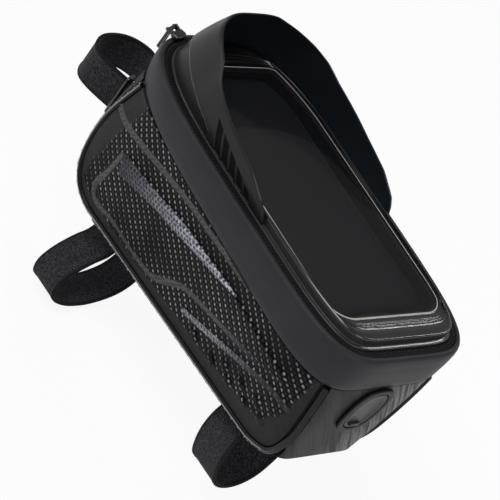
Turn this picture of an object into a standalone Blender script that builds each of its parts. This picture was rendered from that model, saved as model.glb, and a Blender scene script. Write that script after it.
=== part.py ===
# Hard-shell frame bag for a bicycle's top tube: embossed sides, zipped lid with a clear window,
# sun visor, cable port and three hook-and-loop straps.
# Sizes are in millimetres and become metres when a mesh is made.
# X points to the handlebar, Y to the rider's left, Z up, square to the lid. The origin is the
# middle of the seat pad's underside, where the bag sits on the tube.
import math

import bmesh
import bpy
from mathutils import Matrix, Vector

MM = 0.001

# Rim, seen from above: two half superellipses that meet at the widest place
RIM_FRONT = 104.5
RIM_REAR = -101.0
RIM_WIDEST_X = 10.0
RIM_HALF_WIDTH = 48.5
RIM_FRONT_POWER = 3.0
RIM_REAR_POWER = 5.5
RIM_STEPS = 88

# Heights
LIP_TOP = 97.4
BAND_LOW = 76.9
BAND_LOW_SLOPE = 0.030
BASE_HEIGHT = 2.0
BASE_SLOPE = -0.083

# Body below the rim band
BASE_HALF_WIDTH = 27.0
BAND_PROUD = 1.5
LOWER_SQUARENESS_FRONT = 11.5
LOWER_SQUARENESS_REAR = 6.0
REAR_LEAN = 3.0
SKIN = 1.8
GAP = 0.3
PIPING_RADIUS = 1.7

# Seam between side and end walls, seen from the side: front top, bottom front corner
SEAM_FRONT = (
    (92.5, 66.4), (97.7, 50.7), (101.2, 34.4), (101.6, 20.4), (99.0, 9.2), (94.0, 1.4), (87.5, -3.0),
)
SEAM_FRONT_TOP_X = 88.0
SEAM_FRONT_BASE_X = 80.0
# Bottom rear corner, rear top
SEAM_REAR = (
    (-86.0, 11.4), (-92.0, 15.4), (-95.8, 22.9), (-98.4, 36.4), (-98.9, 58.4),
)
SEAM_REAR_BASE_X = -78.0
SEAM_REAR_TOP_X = -98.4

# Relief moulded in the side shells, seen from the side
PLATEAU = (
    (71.7, 47.2), (81.1, 11.8), (75.4, 6.0), (58.2, 7.6), (40.0, 8.5), (20.5, 11.9), (2.5, 26.8),
    (-8.5, 33.2), (-38.6, 42.0), (-83.7, 56.0), (-83.8, 63.1), (-34.5, 65.7), (14.4, 60.5),
    (46.9, 53.1),
)
PLATEAU_HEIGHT = 1.3
PLATEAU_SLOPE = 2.2
WEDGE = (
    (68.6, 45.1), (67.4, 35.4), (46.3, 43.1), (11.3, 51.8), (-25.7, 61.2), (-25.2, 64.4), (14.0, 58.8),
    (46.3, 51.5),
)
WEDGE_HEIGHT = 2.0
WEDGE_SLOPE = 1.2
RIB_UPPER = (
    (86.9, 58.7), (80.8, 59.2), (61.3, 62.9), (37.8, 67.8), (15.0, 71.6), (-3.9, 72.9),
)
RIB_LOWER = (
    (-7.6, 18.7), (-46.6, 34.3), (-89.7, 47.5),
)
RIB_WIDTH = 3.6
RIB_HEIGHT = 1.1
RIB_SLOPE = 1.1
DOMES = (
    (-21.7, 16.2), (-37.2, 17.3), (-46.7, 24.4), (-52.6, 18.9), (-60.7, 27.8), (-67.0, 20.9),
    (-74.0, 31.4), (-80.7, 24.3),
)
DOME_RADIUS = 3.5
DOME_HEIGHT = 1.5
WRAP_STEP_X = 11.0
WRAP_STEP_Z = 12.0

# Zip
TAPE = 1.45
TAPE_THICK = 1.0
TAPE_DEPTH = 9.0
TAPE_TOP = 96.6
ZIP_GAP = 0.3
HINGE_HALF = 14.0
HINGE_AXIS = (104.5, 0.0, 98.4)
LEAF_THICK = 0.8
LEAF_TOP = 97.6
LEAF_DEPTH = 7.2

# Lid
FRAME_INSET = 3.8
FRAME_BOTTOM = 92.9
LEDGE_TOP = 97.6
CREST_INSET = 6.0
CREST_FRONT_EXTRA = 1.6
CREST_TURN_X = 70.0
STEPS_LEAST_WIDTH = 1.8
CREST_TOP = 102.3
STEP_DROP = 0.5
WINDOW_LENGTH = 163.0
WINDOW_WIDTH = 79.6
WINDOW_CORNER = 14.0
FILM_BOTTOM = 100.4
FILM_THICK = 0.6
GASKET_WIDTH = 2.4
GASKET_THICK = 1.2
PAD_THICK = 5.2
PAD_FRONT = 86.0
PAD_REAR = -72.0
PAD_HALF_WIDTH = 42.6
PAD_CORNER = 12.0
PAD_MARGIN = 3.6
TAB_LENGTH = 17.0
TAB_HALF_WIDTH = 12.0
TAB_THICK = 1.3

# Sun visor: at each place x along the rim, how high it stands and how far its top leans in
VISOR_STATIONS = (
    (-20.0, 1.2, 0.0), (-17.0, 6.0, -1.0), (-13.0, 9.0, -2.4), (0.0, 13.9, -2.8), (10.0, 15.8, -2.4),
    (20.0, 17.5, -2.2), (30.0, 19.5, -1.9), (40.0, 21.6, -1.0), (50.0, 24.1, 0.7), (60.0, 29.0, 4.2),
    (72.0, 31.0, 6.5), (84.0, 32.0, 9.0), (94.0, 33.0, 11.5), (101.0, 34.0, 12.5),
)
VISOR_THICK = 1.5
VISOR_BULGE = 1.2
VISOR_SKIRT = ((35.0, 3.0), (42.0, 5.0), (66.0, 8.5), (81.0, 11.0), (101.0, 12.0))
VISOR_SKIRT_DEPTH = 0.7
VISOR_COLUMNS = 72
LOUVRES = 5
LOUVRE_PITCH = 8.7
LOUVRE_FIRST_X = 26.6
LOUVRE_WIDTH = 4.4
LOUVRE_LEAN = 11.0
LOUVRE_TIP_DROP = 2.6
LOUVRE_FOOT = 99.6
LOUVRE_TIP = 111.4
LOUVRE_DEPTH = 0.8

# Zip slider: it rests on the rim this far to the left, and follows an arc round the corner
SLIDER_SIDE = 18.0
SLIDER_TRACK = 46.8
SLIDER_REST = 23.7
SLIDER_INNER = -1.3
SLIDER_OUTER = 4.2
SLIDER_LENGTH = 9.5
SLIDER_HEIGHT = 2.5
EAR_THICK = 1.1
PULL_OFFSET = 6.5
PULL_BARREL = 1.1
PULL_WIDTH = 4.6
PULL_LENGTH = 13.0
PULL_THICK = 1.4
PULL_AXIS_Z = 99.1

# Cable port in the rear wall
PORT_HALF_WIDTH = 9.5
PORT_HALF_HEIGHT = 13.5
PORT_POWER = 2.6
PORT_SLEEVE = 1.4
PORT_FLANGE = 3.0
FLANGE_THICK = 1.9
FLAP_THICK = 1.4
FLAP_GAP = 0.4
FLAP_AXIS_DROP = 1.0
PORT_BAND_GAP = 0.3
PORT_CUT_DEPTH = 12.0

# Straps: half outlines in the loop's plane, across and away from the wall
STRAP_WIDTH = 21.0
STRAP_THICK = 2.2
STRAP_LOOPS = {
    "mid": (
        (0.0, 0.0), (4.5, 0.0), (8.0, -3.0), (9.8, -9.0), (12.0, -14.5), (18.0, -19.0), (24.0, -26.0),
        (26.6, -34.0), (24.0, -41.5), (17.5, -46.5), (8.0, -49.7), (0.0, -50.4),
    ),
    "rear": (
        (0.0, 0.0), (4.5, 0.0), (11.0, -1.5), (17.3, -5.0), (21.0, -12.0), (21.6, -22.0),
        (19.1, -32.5), (14.8, -41.0), (8.0, -46.0), (0.0, -47.6),
    ),
    "front": (
        (0.0, 0.0), (4.5, 0.0), (8.0, -3.5), (11.0, -11.5), (15.0, -19.5), (18.2, -27.5),
        (18.8, -34.5), (14.5, -41.0), (8.0, -45.0), (0.0, -46.2),
    ),
}
# How far each loop swings to the left, per millimetre away from the wall
STRAP_LEAN = {"mid": 0.36, "rear": 0.04, "front": 0.0}
STRAP_RING_AT = {"mid": 0.125, "rear": 0.14, "front": 0.14}
STRAP_POINTS = 44
MID_STRAP_X = 70.0
REAR_STRAP_X = -62.0
FRONT_STRAP_Z = 40.4
KEEPER_HALF_WIDTH = 3.6
KEEPER_CLEARANCE = 0.6
KEEPER_THICK = 1.0
KEEPER_FOOT = 5.0
RING_WIRE = 1.1
RING_CLEARANCE = 0.9

# Seat pad under the base, between the two tube straps
SEAT_LENGTH = 72.0
SEAT_WIDTH = 42.0
SEAT_CORNER = 8.0

# Colours as seen on the bag
BLACK_SATIN = (0.020, 0.020, 0.022)
BLACK_GLOSS = (0.006, 0.006, 0.007)
CHARCOAL = (0.030, 0.030, 0.034)
WEBBING = (0.022, 0.022, 0.026)
RUBBER = (0.015, 0.015, 0.016)


def clear_scene():
    for item in list(bpy.data.objects):
        bpy.data.objects.remove(item, do_unlink=True)


def make_material(name, colour, roughness, metallic=0.0, alpha=1.0):
    material = bpy.data.materials.new(name)
    material.use_nodes = True
    shader = material.node_tree.nodes["Principled BSDF"]
    shader.inputs["Base Color"].default_value = (*colour, 1.0)
    shader.inputs["Roughness"].default_value = roughness
    shader.inputs["Metallic"].default_value = metallic
    shader.inputs["Alpha"].default_value = alpha
    return material


def lerp(a, b, share):
    return a + (b - a) * share


def table_value(stations, x, column=1):
    """Value at x, straight between the stations."""
    if x <= stations[0][0]:
        return stations[0][column]
    for low, high in zip(stations, stations[1:]):
        if x <= high[0]:
            return lerp(low[column], high[column], (x - low[0]) / (high[0] - low[0]))
    return stations[-1][column]


def resample(points, count, closed):
    """Points an equal way apart along a line."""
    line = list(points) + ([points[0]] if closed else [])
    lengths = [0.0]
    for a, b in zip(line, line[1:]):
        lengths.append(lengths[-1] + (b - a).length)
    spaces = count if closed else count - 1
    result = []
    index = 0
    for step in range(count):
        target = lengths[-1] * step / spaces
        while index < len(line) - 2 and lengths[index + 1] < target:
            index += 1
        span = lengths[index + 1] - lengths[index]
        share = (target - lengths[index]) / span if span else 0.0
        result.append(line[index].lerp(line[index + 1], min(share, 1.0)))
    return result


def smooth_line(points, steps, closed=False):
    """Catmull-Rom curve through the points."""
    count = len(points)
    result = []
    for i in range(count if closed else count - 1):
        if closed:
            p0, p1, p2, p3 = (points[(i + k) % count] for k in (-1, 0, 1, 2))
        else:
            p0, p1, p2, p3 = (points[min(max(i + k, 0), count - 1)] for k in (-1, 0, 1, 2))
        for step in range(steps):
            t = step / steps
            result.append(0.5 * (
                2 * p1 + (p2 - p0) * t + (2 * p0 - 5 * p1 + 4 * p2 - p3) * t ** 2
                + (3 * p1 - p0 - 3 * p2 + p3) * t ** 3
            ))
    if not closed:
        result.append(points[-1].copy())
    return result


def finish_mesh(name, bm, material, parent=None, smooth_angle=35.0):
    bmesh.ops.recalc_face_normals(bm, faces=bm.faces)
    if bm.calc_volume(signed=True) < 0:
        bmesh.ops.reverse_faces(bm, faces=bm.faces)
    bmesh.ops.scale(bm, vec=(MM, MM, MM), verts=bm.verts)
    mesh = bpy.data.meshes.new(name)
    bm.to_mesh(mesh)
    bm.free()
    mesh.shade_smooth()
    mesh.set_sharp_from_angle(angle=math.radians(smooth_angle))
    mesh.materials.append(material)
    item = bpy.data.objects.new(name, mesh)
    bpy.context.scene.collection.objects.link(item)
    item.parent = parent
    return item


def loft(bm, rings, closed):
    """Joins rings of points into a tube. A closed tube meets itself, an open one gets end caps."""
    loops = [[bm.verts.new(point) for point in ring] for ring in rings]
    pairs = list(zip(loops, loops[1:] + loops[:1])) if closed else list(zip(loops, loops[1:]))
    for first, second in pairs:
        for i in range(len(first)):
            j = (i + 1) % len(first)
            bm.faces.new((first[i], first[j], second[j], second[i]))
    if not closed:
        bm.faces.new(loops[0])
        bm.faces.new(loops[-1])


def solid_between(bm, outer, inner):
    """Closed wall between two grids of points of the same size."""
    outer_verts = [[bm.verts.new(point) for point in row] for row in outer]
    inner_verts = [[bm.verts.new(point) for point in row] for row in inner]
    rows = len(outer)
    columns = len(outer[0])
    for i in range(rows - 1):
        for j in range(columns - 1):
            for grid in (outer_verts, inner_verts):
                bm.faces.new((grid[i][j], grid[i][j + 1], grid[i + 1][j + 1], grid[i + 1][j]))
    for j in range(columns - 1):
        for i in (0, rows - 1):
            bm.faces.new((
                outer_verts[i][j], outer_verts[i][j + 1], inner_verts[i][j + 1], inner_verts[i][j],
            ))
    for i in range(rows - 1):
        for j in (0, columns - 1):
            bm.faces.new((
                outer_verts[i][j], outer_verts[i + 1][j], inner_verts[i + 1][j], inner_verts[i][j],
            ))


def offset_grid(grid, distance, outward):
    """The grid moved along its own normals. outward(point) says which way is out."""
    rows = len(grid)
    columns = len(grid[0])
    moved = []
    for i in range(rows):
        line = []
        for j in range(columns):
            along = grid[min(i + 1, rows - 1)][j] - grid[max(i - 1, 0)][j]
            across = grid[i][min(j + 1, columns - 1)] - grid[i][max(j - 1, 0)]
            normal = along.cross(across).normalized()
            if normal.dot(outward(grid[i][j])) < 0:
                normal.negate()
            line.append(grid[i][j] + normal * distance)
        moved.append(line)
    return moved


def prism(bm, outline, low, high):
    """Prism of an outline of (a, b) points, from height low to high on the third axis."""
    loft(bm, [[Vector((a, b, height)) for a, b in outline] for height in (low, high)], closed=False)


def inset_outline(outline, distance):
    """Outline moved inwards by a mitred distance. The outline runs either way round."""
    points = [Vector(point) for point in outline]
    count = len(points)
    following = points[1:] + points[:1]
    area = sum(a.x * b.y - b.x * a.y for a, b in zip(points, following))
    turn = 1.0 if area > 0 else -1.0
    result = []
    for i in range(count):
        before = (points[i] - points[i - 1]).normalized()
        after = (points[(i + 1) % count] - points[i]).normalized()
        normal_before = Vector((-before.y, before.x)) * turn
        normal_after = Vector((-after.y, after.x)) * turn
        miter = normal_before + normal_after
        result.append(points[i] + miter * (distance / max(miter.dot(normal_after), 0.4)))
    return result


def rounded_rectangle(length, width, radius, arc_steps=5):
    """Closed outline of Vector points, anticlockwise from the middle of the +X side."""
    corners = ((1, 1, 0), (-1, 1, 90), (-1, -1, 180), (1, -1, 270))
    points = [Vector((length / 2, 0.0))]
    for sign_x, sign_y, start in corners:
        centre = Vector((sign_x * (length / 2 - radius), sign_y * (width / 2 - radius)))
        for step in range(arc_steps + 1):
            angle = math.radians(start + 90 * step / arc_steps)
            points.append(centre + radius * Vector((math.cos(angle), math.sin(angle))))
    return points


def superellipse(half_a, half_b, power, count):
    points = []
    for step in range(count):
        angle = 2 * math.pi * step / count
        c = math.cos(angle)
        s = math.sin(angle)
        points.append(Vector((
            half_a * math.copysign(abs(c) ** (2 / power), c),
            half_b * math.copysign(abs(s) ** (2 / power), s),
        )))
    return points


# The rim's path, seen from above


def rim_line():
    """Fine closed line of the rim's inner edge, anticlockwise from the front middle."""
    line = []
    steps = 720
    for step in range(steps):
        angle = 2 * math.pi * step / steps
        c = math.cos(angle)
        s = math.sin(angle)
        power = RIM_FRONT_POWER if c > 0 else RIM_REAR_POWER
        reach = RIM_FRONT - RIM_WIDEST_X if c > 0 else RIM_WIDEST_X - RIM_REAR
        line.append(Vector((
            RIM_WIDEST_X + reach * math.copysign(abs(c) ** (2 / power), c),
            RIM_HALF_WIDTH * math.copysign(abs(s) ** (2 / power), s),
        )))
    return line


def line_normals(points, closed):
    normals = []
    count = len(points)
    for i in range(count):
        if closed:
            tangent = points[(i + 1) % count] - points[i - 1]
        else:
            tangent = points[min(i + 1, count - 1)] - points[max(i - 1, 0)]
        normals.append(Vector((tangent.y, -tangent.x)).normalized())
    return normals


def rim_half_width(x):
    power = RIM_FRONT_POWER if x > RIM_WIDEST_X else RIM_REAR_POWER
    reach = RIM_FRONT - RIM_WIDEST_X if x > RIM_WIDEST_X else RIM_WIDEST_X - RIM_REAR
    return RIM_HALF_WIDTH * (1 - min(abs(x - RIM_WIDEST_X) / reach, 1.0) ** power) ** (1 / power)


def kept_inside(outline, margin):
    """The outline held about margin inside the sides of the rim, measured square to them."""
    kept = []
    for point in outline:
        slope = rim_half_width(point.x + 0.5) - rim_half_width(point.x - 0.5)
        limit = rim_half_width(point.x) - margin * math.hypot(1.0, slope)
        kept.append(Vector((point.x, math.copysign(min(abs(point.y), limit), point.y))))
    return kept


RIM = resample(rim_line(), RIM_STEPS, closed=True)
RIM_NORMALS = line_normals(RIM, closed=True)


def open_rim(keep, count):
    """Points and normals of the rim's line where keep is true, from right to left by the front."""
    line = resample(rim_line(), 1440, closed=True)
    wanted = [keep(point) for point in line]
    start = next(i for i in range(len(line)) if wanted[i] and not wanted[i - 1])
    stretch = []
    index = start
    while wanted[index % len(line)] and len(stretch) < len(line):
        stretch.append(line[index % len(line)])
        index += 1
    points = resample(stretch, count, closed=False)
    return points, line_normals(points, closed=False)


def rim_ring(inset, height, front_extra=0.0):
    """The rim moved inwards, by more towards the front if front_extra is set."""
    ring = []
    for point, normal in zip(RIM, RIM_NORMALS):
        forward = min(max((point.x - CREST_TURN_X) / (RIM_FRONT - CREST_TURN_X), 0.0), 1.0)
        ring.append(Vector((*(point - normal * (inset + front_extra * forward)), height)))
    return ring


def sweep(bm, points, normals, profile, closed):
    """Sweeps a profile of (offset from the line, height) points. profile may be a function of the place."""
    rings = []
    for point, normal in zip(points, normals):
        shape = profile(point) if callable(profile) else profile
        rings.append([Vector((*(point + normal * offset), height)) for offset, height in shape])
    loft(bm, rings, closed)


# The body's outer surface below the rim band


def base_height(x):
    return BASE_HEIGHT + BASE_SLOPE * x


def band_low(x):
    return BAND_LOW + BAND_LOW_SLOPE * x


def level_share(x, z):
    """0 on the base, 1 at the band's lower edge."""
    return (z - base_height(x)) / (band_low(x) - base_height(x))


def level_shape(x, z):
    """Half width, reach and power of the level's superellipse, for the half that x is in."""
    share = min(max(level_share(x, z), 0.0), 1.0)
    half = lerp(BASE_HALF_WIDTH, RIM_HALF_WIDTH + BAND_PROUD, share)
    if x > RIM_WIDEST_X:
        reach = RIM_FRONT - RIM_WIDEST_X + 1.0 + 0.5 * share
        power = RIM_FRONT_POWER + 0.2 + LOWER_SQUARENESS_FRONT * (1 - share) ** 1.4
    else:
        reach = RIM_WIDEST_X - RIM_REAR - 1.5 - REAR_LEAN * (1 - share) + REAR_LEAN
        power = RIM_REAR_POWER + LOWER_SQUARENESS_REAR * (1 - share)
    return half, reach, power


def body_half_width(x, z):
    half, reach, power = level_shape(x, z)
    part = min(abs(x - RIM_WIDEST_X) / reach, 0.9995)
    return half * (1 - part ** power) ** (1 / power)


def body_end_x(y, x_seam, z):
    """How far out the end wall stands at y, at this level."""
    half, reach, power = level_shape(x_seam, z)
    part = min(abs(y) / half, 0.9995)
    return RIM_WIDEST_X + math.copysign(reach, x_seam) * (1 - part ** power) ** (1 / power)


def body_normal(x, z):
    """Level outward direction of the side."""
    step = 0.5
    slope = (body_half_width(x + step, z) - body_half_width(x - step, z)) / (2 * step)
    return Vector((-slope, 1.0, 0.0)).normalized()


def seam_line(drop=GAP):
    """Fine line of the seam in (x, z), from the front top round the base to the rear top."""
    front = [Vector((SEAM_FRONT_TOP_X, band_low(SEAM_FRONT_TOP_X) - drop))]
    front += [Vector(point) for point in SEAM_FRONT]
    front.append(Vector((SEAM_FRONT_BASE_X, base_height(SEAM_FRONT_BASE_X))))
    rear = [Vector((SEAM_REAR_BASE_X, base_height(SEAM_REAR_BASE_X)))]
    rear += [Vector(point) for point in SEAM_REAR]
    rear.append(Vector((SEAM_REAR_TOP_X, band_low(SEAM_REAR_TOP_X) - drop)))
    return smooth_line(front, 8) + smooth_line(rear, 8)


def seam_places(count):
    """Even places on the seam as (x, z) with the outward normal in the side view."""
    points = resample(seam_line(), count, closed=False)
    normals = []
    for i, _ in enumerate(points):
        tangent = points[min(i + 1, count - 1)] - points[max(i - 1, 0)]
        normals.append(Vector((-tangent.y, tangent.x)).normalized())
    return points, normals


# Pieces of the body


def apply_boolean(item, tool, operation):
    """Cuts or joins tool into item and leaves one plain mesh."""
    modifier = item.modifiers.new(operation.title(), "BOOLEAN")
    modifier.operation = operation
    modifier.object = tool
    graph = bpy.context.evaluated_depsgraph_get()
    mesh = bpy.data.meshes.new_from_object(item.evaluated_get(graph))
    item.modifiers.remove(modifier)
    item.data = mesh
    bpy.data.objects.remove(tool, do_unlink=True)


def raised(outline, height, slope, sunk):
    """Raised patch in the flat pattern, with sloping sides, its foot sunk in the shell."""
    bm = bmesh.new()
    top = inset_outline(outline, slope)
    rings = [
        [Vector((x, z, -sunk)) for x, z in outline],
        [Vector((x, z, 0.0)) for x, z in outline],
        [Vector((x, z, height)) for x, z in top],
    ]
    loft(bm, rings, closed=False)
    return finish_mesh("relief", bm, MATERIALS["side"])


def rib_outline(line, width):
    points = [Vector(point) for point in line]
    left = []
    right = []
    for i, point in enumerate(points):
        tangent = (points[min(i + 1, len(points) - 1)] - points[max(i - 1, 0)]).normalized()
        normal = Vector((-tangent.y, tangent.x))
        left.append(point + normal * width / 2)
        right.append(point - normal * width / 2)
    return left + right[::-1]


def dome_patch(sunk):
    """All the domes as one tool: turned caps standing in the shell."""
    bm = bmesh.new()
    sides = 12
    for centre_x, centre_z in DOMES:
        rings = []
        for radius, height in ((1.0, -sunk), (1.0, 0.0), (0.78, 0.45), (0.42, 0.85)):
            rings.append([
                Vector((
                    centre_x + DOME_RADIUS * radius * math.cos(2 * math.pi * k / sides),
                    centre_z + DOME_RADIUS * radius * math.sin(2 * math.pi * k / sides),
                    height if height < 0 else height * DOME_HEIGHT,
                ))
                for k in range(sides)
            ])
        loft(bm, rings, closed=False)
    return finish_mesh("domes", bm, MATERIALS["side"])


def shell_outline():
    """The side shell's edge in the side view: the seam moved in by the piping, closed along the band."""
    margin = PIPING_RADIUS + 2 * GAP
    points, normals = seam_places(60)
    inner = [point - normal * margin for point, normal in zip(points, normals)]
    inner[0] = Vector((inner[0].x, band_low(inner[0].x) - GAP))
    inner[-1] = Vector((inner[-1].x, band_low(inner[-1].x) - GAP))
    return inner


def make_shell(name, side):
    """Side shell: relief is joined to its flat pattern, which is then wrapped on the body's surface."""
    bm = bmesh.new()
    prism(bm, shell_outline(), -SKIN, 0.0)
    shell = finish_mesh(name, bm, MATERIALS["side"])
    sunk = SKIN / 3
    apply_boolean(shell, raised(PLATEAU, PLATEAU_HEIGHT, PLATEAU_SLOPE, sunk), "UNION")
    apply_boolean(shell, raised(WEDGE, WEDGE_HEIGHT, WEDGE_SLOPE, sunk), "UNION")
    for line in (RIB_UPPER, RIB_LOWER):
        apply_boolean(shell, raised(rib_outline(line, RIB_WIDTH), RIB_HEIGHT, RIB_SLOPE, sunk), "UNION")
    apply_boolean(shell, dome_patch(sunk), "UNION")

    bm = bmesh.new()
    bm.from_mesh(shell.data)
    bmesh.ops.scale(bm, vec=(1 / MM, 1 / MM, 1 / MM), verts=bm.verts)
    low_x = min(vert.co.x for vert in bm.verts)
    high_x = max(vert.co.x for vert in bm.verts)
    cuts = ((0, low_x, high_x, WRAP_STEP_X), (1, BASE_HEIGHT, LIP_TOP, WRAP_STEP_Z))
    for axis, start, end, spacing in cuts:
        steps = int((end - start) / spacing)
        normal = Vector((1.0, 0.0, 0.0)) if axis == 0 else Vector((0.0, 1.0, 0.0))
        for step in range(1, steps + 1):
            place = normal * (start + (end - start) * step / (steps + 1))
            geometry = bm.verts[:] + bm.edges[:] + bm.faces[:]
            bmesh.ops.bisect_plane(bm, geom=geometry, plane_co=place, plane_no=normal, dist=0.01)
    bmesh.ops.triangulate(bm, faces=bm.faces)
    for vert in bm.verts:
        x, z, height = vert.co
        surface = Vector((x, body_half_width(x, z), z))
        placed = surface + body_normal(x, z) * height
        vert.co = (placed.x, placed.y * side, placed.z)
    bpy.data.objects.remove(shell, do_unlink=True)
    return finish_mesh(name, bm, MATERIALS["side"])


def gusset_bulge(y, x, z, normal):
    """How far along X the end wall stands from its seam at y. It fades out round the corner to the base."""
    fade = min(abs(normal.x) * 1.2, 1.0) ** 3
    return (body_end_x(y, x, z) - x) * fade


def gusset_edge(x, z, normal):
    """Half width of the end wall here, so that its edge keeps clear of the piping."""
    seam_half = body_half_width(x, z)
    margin = PIPING_RADIUS + 2.4 * GAP
    half = seam_half - margin
    for _ in range(12):
        out = gusset_bulge(half, x, z, normal)
        half = seam_half - math.sqrt(max(margin ** 2 - out ** 2, 0.0))
    return half


def gusset_grid(rows, columns):
    points, normals = seam_places(rows)
    grid = []
    for point, normal in zip(points, normals):
        half = gusset_edge(point.x, point.y, normal)
        share = max(level_share(point.x, point.y), 0.0)
        line = []
        for column in range(columns):
            y = half * math.sin(math.pi / 2 * (2 * column / (columns - 1) - 1))
            out = gusset_bulge(y, point.x, point.y, normal)
            line.append(Vector((point.x + out, y, point.y + BAND_LOW_SLOPE * out * share)))
        grid.append(line)
    return grid


def make_gusset():
    """The strip that makes the front wall, the base and the rear wall, with the hole for the cable port."""
    outer = gusset_grid(58, 13)
    middle = Vector((0.0, 0.0, (LIP_TOP + BASE_HEIGHT) / 2))
    inner = offset_grid(outer, -SKIN, lambda point: Vector((point.x - middle.x, 0.0, point.z - middle.z)))
    bm = bmesh.new()
    solid_between(bm, outer, inner)
    gusset = finish_mesh("gusset", bm, MATERIALS["wall"])
    bm = bmesh.new()
    grow = PORT_SLEEVE + GAP
    hole = superellipse(PORT_HALF_WIDTH + grow, PORT_HALF_HEIGHT + grow, PORT_POWER, 32)
    prism(bm, hole, -PORT_CUT_DEPTH, PORT_CUT_DEPTH)
    cutter = finish_mesh("port_cutter", bm, MATERIALS["wall"])
    cutter.matrix_world = port_matrix()
    bpy.context.view_layer.update()
    apply_boolean(gusset, cutter, "DIFFERENCE")


def port_matrix():
    """Port's own frame in metres, its flange just under the band: x across, y up, z outwards."""
    height = band_low(RIM_REAR) - PORT_BAND_GAP - PORT_FLANGE - PORT_HALF_HEIGHT
    step = PORT_HALF_HEIGHT / 2
    rear_x = [body_end_x(0.0, RIM_REAR, height + lift) for lift in (-step, 0.0, step)]
    up = Vector((rear_x[2] - rear_x[0], 0.0, 2 * step)).normalized()
    across = Vector((0.0, -1.0, 0.0))
    out = across.cross(up)
    matrix = Matrix((across, up, out)).transposed().to_4x4()
    matrix.translation = Vector((rear_x[1], 0.0, height)) * MM
    return matrix


def make_port():
    """Rubber grommet with its sleeve through the wall, and the flap that closes it."""
    matrix = port_matrix()
    bm = bmesh.new()
    sizes = (
        (0.0, -SKIN - 1.6), (0.0, FLANGE_THICK + GAP), (PORT_FLANGE - 0.6, FLANGE_THICK + GAP),
        (PORT_FLANGE, FLANGE_THICK + GAP - 0.6), (PORT_FLANGE, GAP), (PORT_SLEEVE, GAP),
        (PORT_SLEEVE, -SKIN - 1.6),
    )
    steps = 32
    rings = []
    for step in range(steps):
        ring = []
        for grow, height in sizes:
            outline = superellipse(PORT_HALF_WIDTH + grow, PORT_HALF_HEIGHT + grow, PORT_POWER, steps)
            ring.append(Vector((*outline[step], height)))
        rings.append(ring)
    loft(bm, rings, closed=True)
    grommet = finish_mesh("port_grommet", bm, MATERIALS["rubber"])
    grommet.matrix_world = matrix

    axis_height = PORT_HALF_HEIGHT - FLAP_GAP - FLAP_AXIS_DROP
    face = FLANGE_THICK + GAP - 0.2
    bm = bmesh.new()
    outline = superellipse(PORT_HALF_WIDTH - FLAP_GAP, PORT_HALF_HEIGHT - FLAP_GAP, PORT_POWER, 32)
    rim = inset_outline(outline, 0.5)
    rings = []
    for shape, height in ((outline, -FLAP_THICK), (outline, -0.4), (rim, 0.0)):
        rings.append([Vector((point.x, point.y - axis_height, height)) for point in shape])
    loft(bm, rings, closed=False)
    lip = rounded_rectangle(7.0, 2.4, 1.0)
    lip_line = [Vector((point.x, point.y - axis_height - PORT_HALF_HEIGHT + 3.4, 0.0)) for point in lip]
    flap = finish_mesh("port_flap", bm, MATERIALS["rubber"])
    bm = bmesh.new()
    rings = [[point + Vector((0.0, 0.0, height)) for point in lip_line] for height in (-0.6, 0.9)]
    loft(bm, rings, closed=False)
    apply_boolean(flap, finish_mesh("flap_lip", bm, MATERIALS["rubber"]), "UNION")
    flap.matrix_world = matrix @ Matrix.Translation(Vector((0.0, axis_height, face)) * MM)


def make_piping(name, side):
    """Round piping along the seam, as a bevelled curve."""
    points, normals = seam_places(64)
    end_trim = PIPING_RADIUS * 0.6
    curve = bpy.data.curves.new(name, "CURVE")
    curve.dimensions = "3D"
    curve.bevel_depth = PIPING_RADIUS * MM
    curve.bevel_resolution = 2
    curve.use_fill_caps = True
    spline = curve.splines.new("POLY")
    spline.points.add(len(points) - 1)
    for i, point in enumerate(points):
        z = point.y - (end_trim if i in (0, len(points) - 1) else 0.0)
        y = body_half_width(point.x, z) * side
        spline.points[i].co = (point.x * MM, y * MM, z * MM, 1.0)
    curve.materials.append(MATERIALS["piping"])
    item = bpy.data.objects.new(name, curve)
    bpy.context.scene.collection.objects.link(item)


def make_rim_band():
    """Soft band round the bag's mouth, swept along the rim."""

    def profile(point):
        low = band_low(point.x)
        proud = BAND_PROUD
        return (
            (0.0, low), (proud, low), (proud + 1.1, low + 3.5), (proud + 1.9, lerp(low, LIP_TOP, 0.55)),
            (proud + 2.0, LIP_TOP - 4.0), (proud + 1.6, LIP_TOP - 1.4), (proud + 0.5, LIP_TOP),
            (0.6, LIP_TOP), (0.0, LIP_TOP - 0.6),
        )

    bm = bmesh.new()
    sweep(bm, RIM, RIM_NORMALS, profile, closed=True)
    finish_mesh("rim_band", bm, MATERIALS["band"])


def past_hinge(point):
    """True away from the hinge at the front."""
    return not (point.x > RIM_WIDEST_X and abs(point.y) < HINGE_HALF)


def make_zip_tapes():
    points, normals = open_rim(past_hinge, 76)
    body_out = -GAP
    body_in = body_out - TAPE
    low = TAPE_TOP - TAPE_THICK
    body_profile = (
        (body_out, TAPE_TOP), (body_in, TAPE_TOP), (body_in, low), (body_out - 0.9, low - 0.5),
        (body_out - 0.9, TAPE_TOP - TAPE_DEPTH), (body_out, TAPE_TOP - TAPE_DEPTH),
    )
    lid_in = -FRAME_INSET + GAP
    lid_out = body_in - ZIP_GAP
    lid_profile = (
        (lid_out, TAPE_TOP), (lid_out, low), (lid_in + 0.8, low - 0.5), (lid_in + 0.8, FRAME_BOTTOM),
        (lid_in, FRAME_BOTTOM), (lid_in, TAPE_TOP),
    )
    for name, profile in (("zip_tape_body", body_profile), ("zip_tape_lid", lid_profile)):
        bm = bmesh.new()
        sweep(bm, points, normals, profile, closed=False)
        finish_mesh(name, bm, MATERIALS["tape"])


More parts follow.
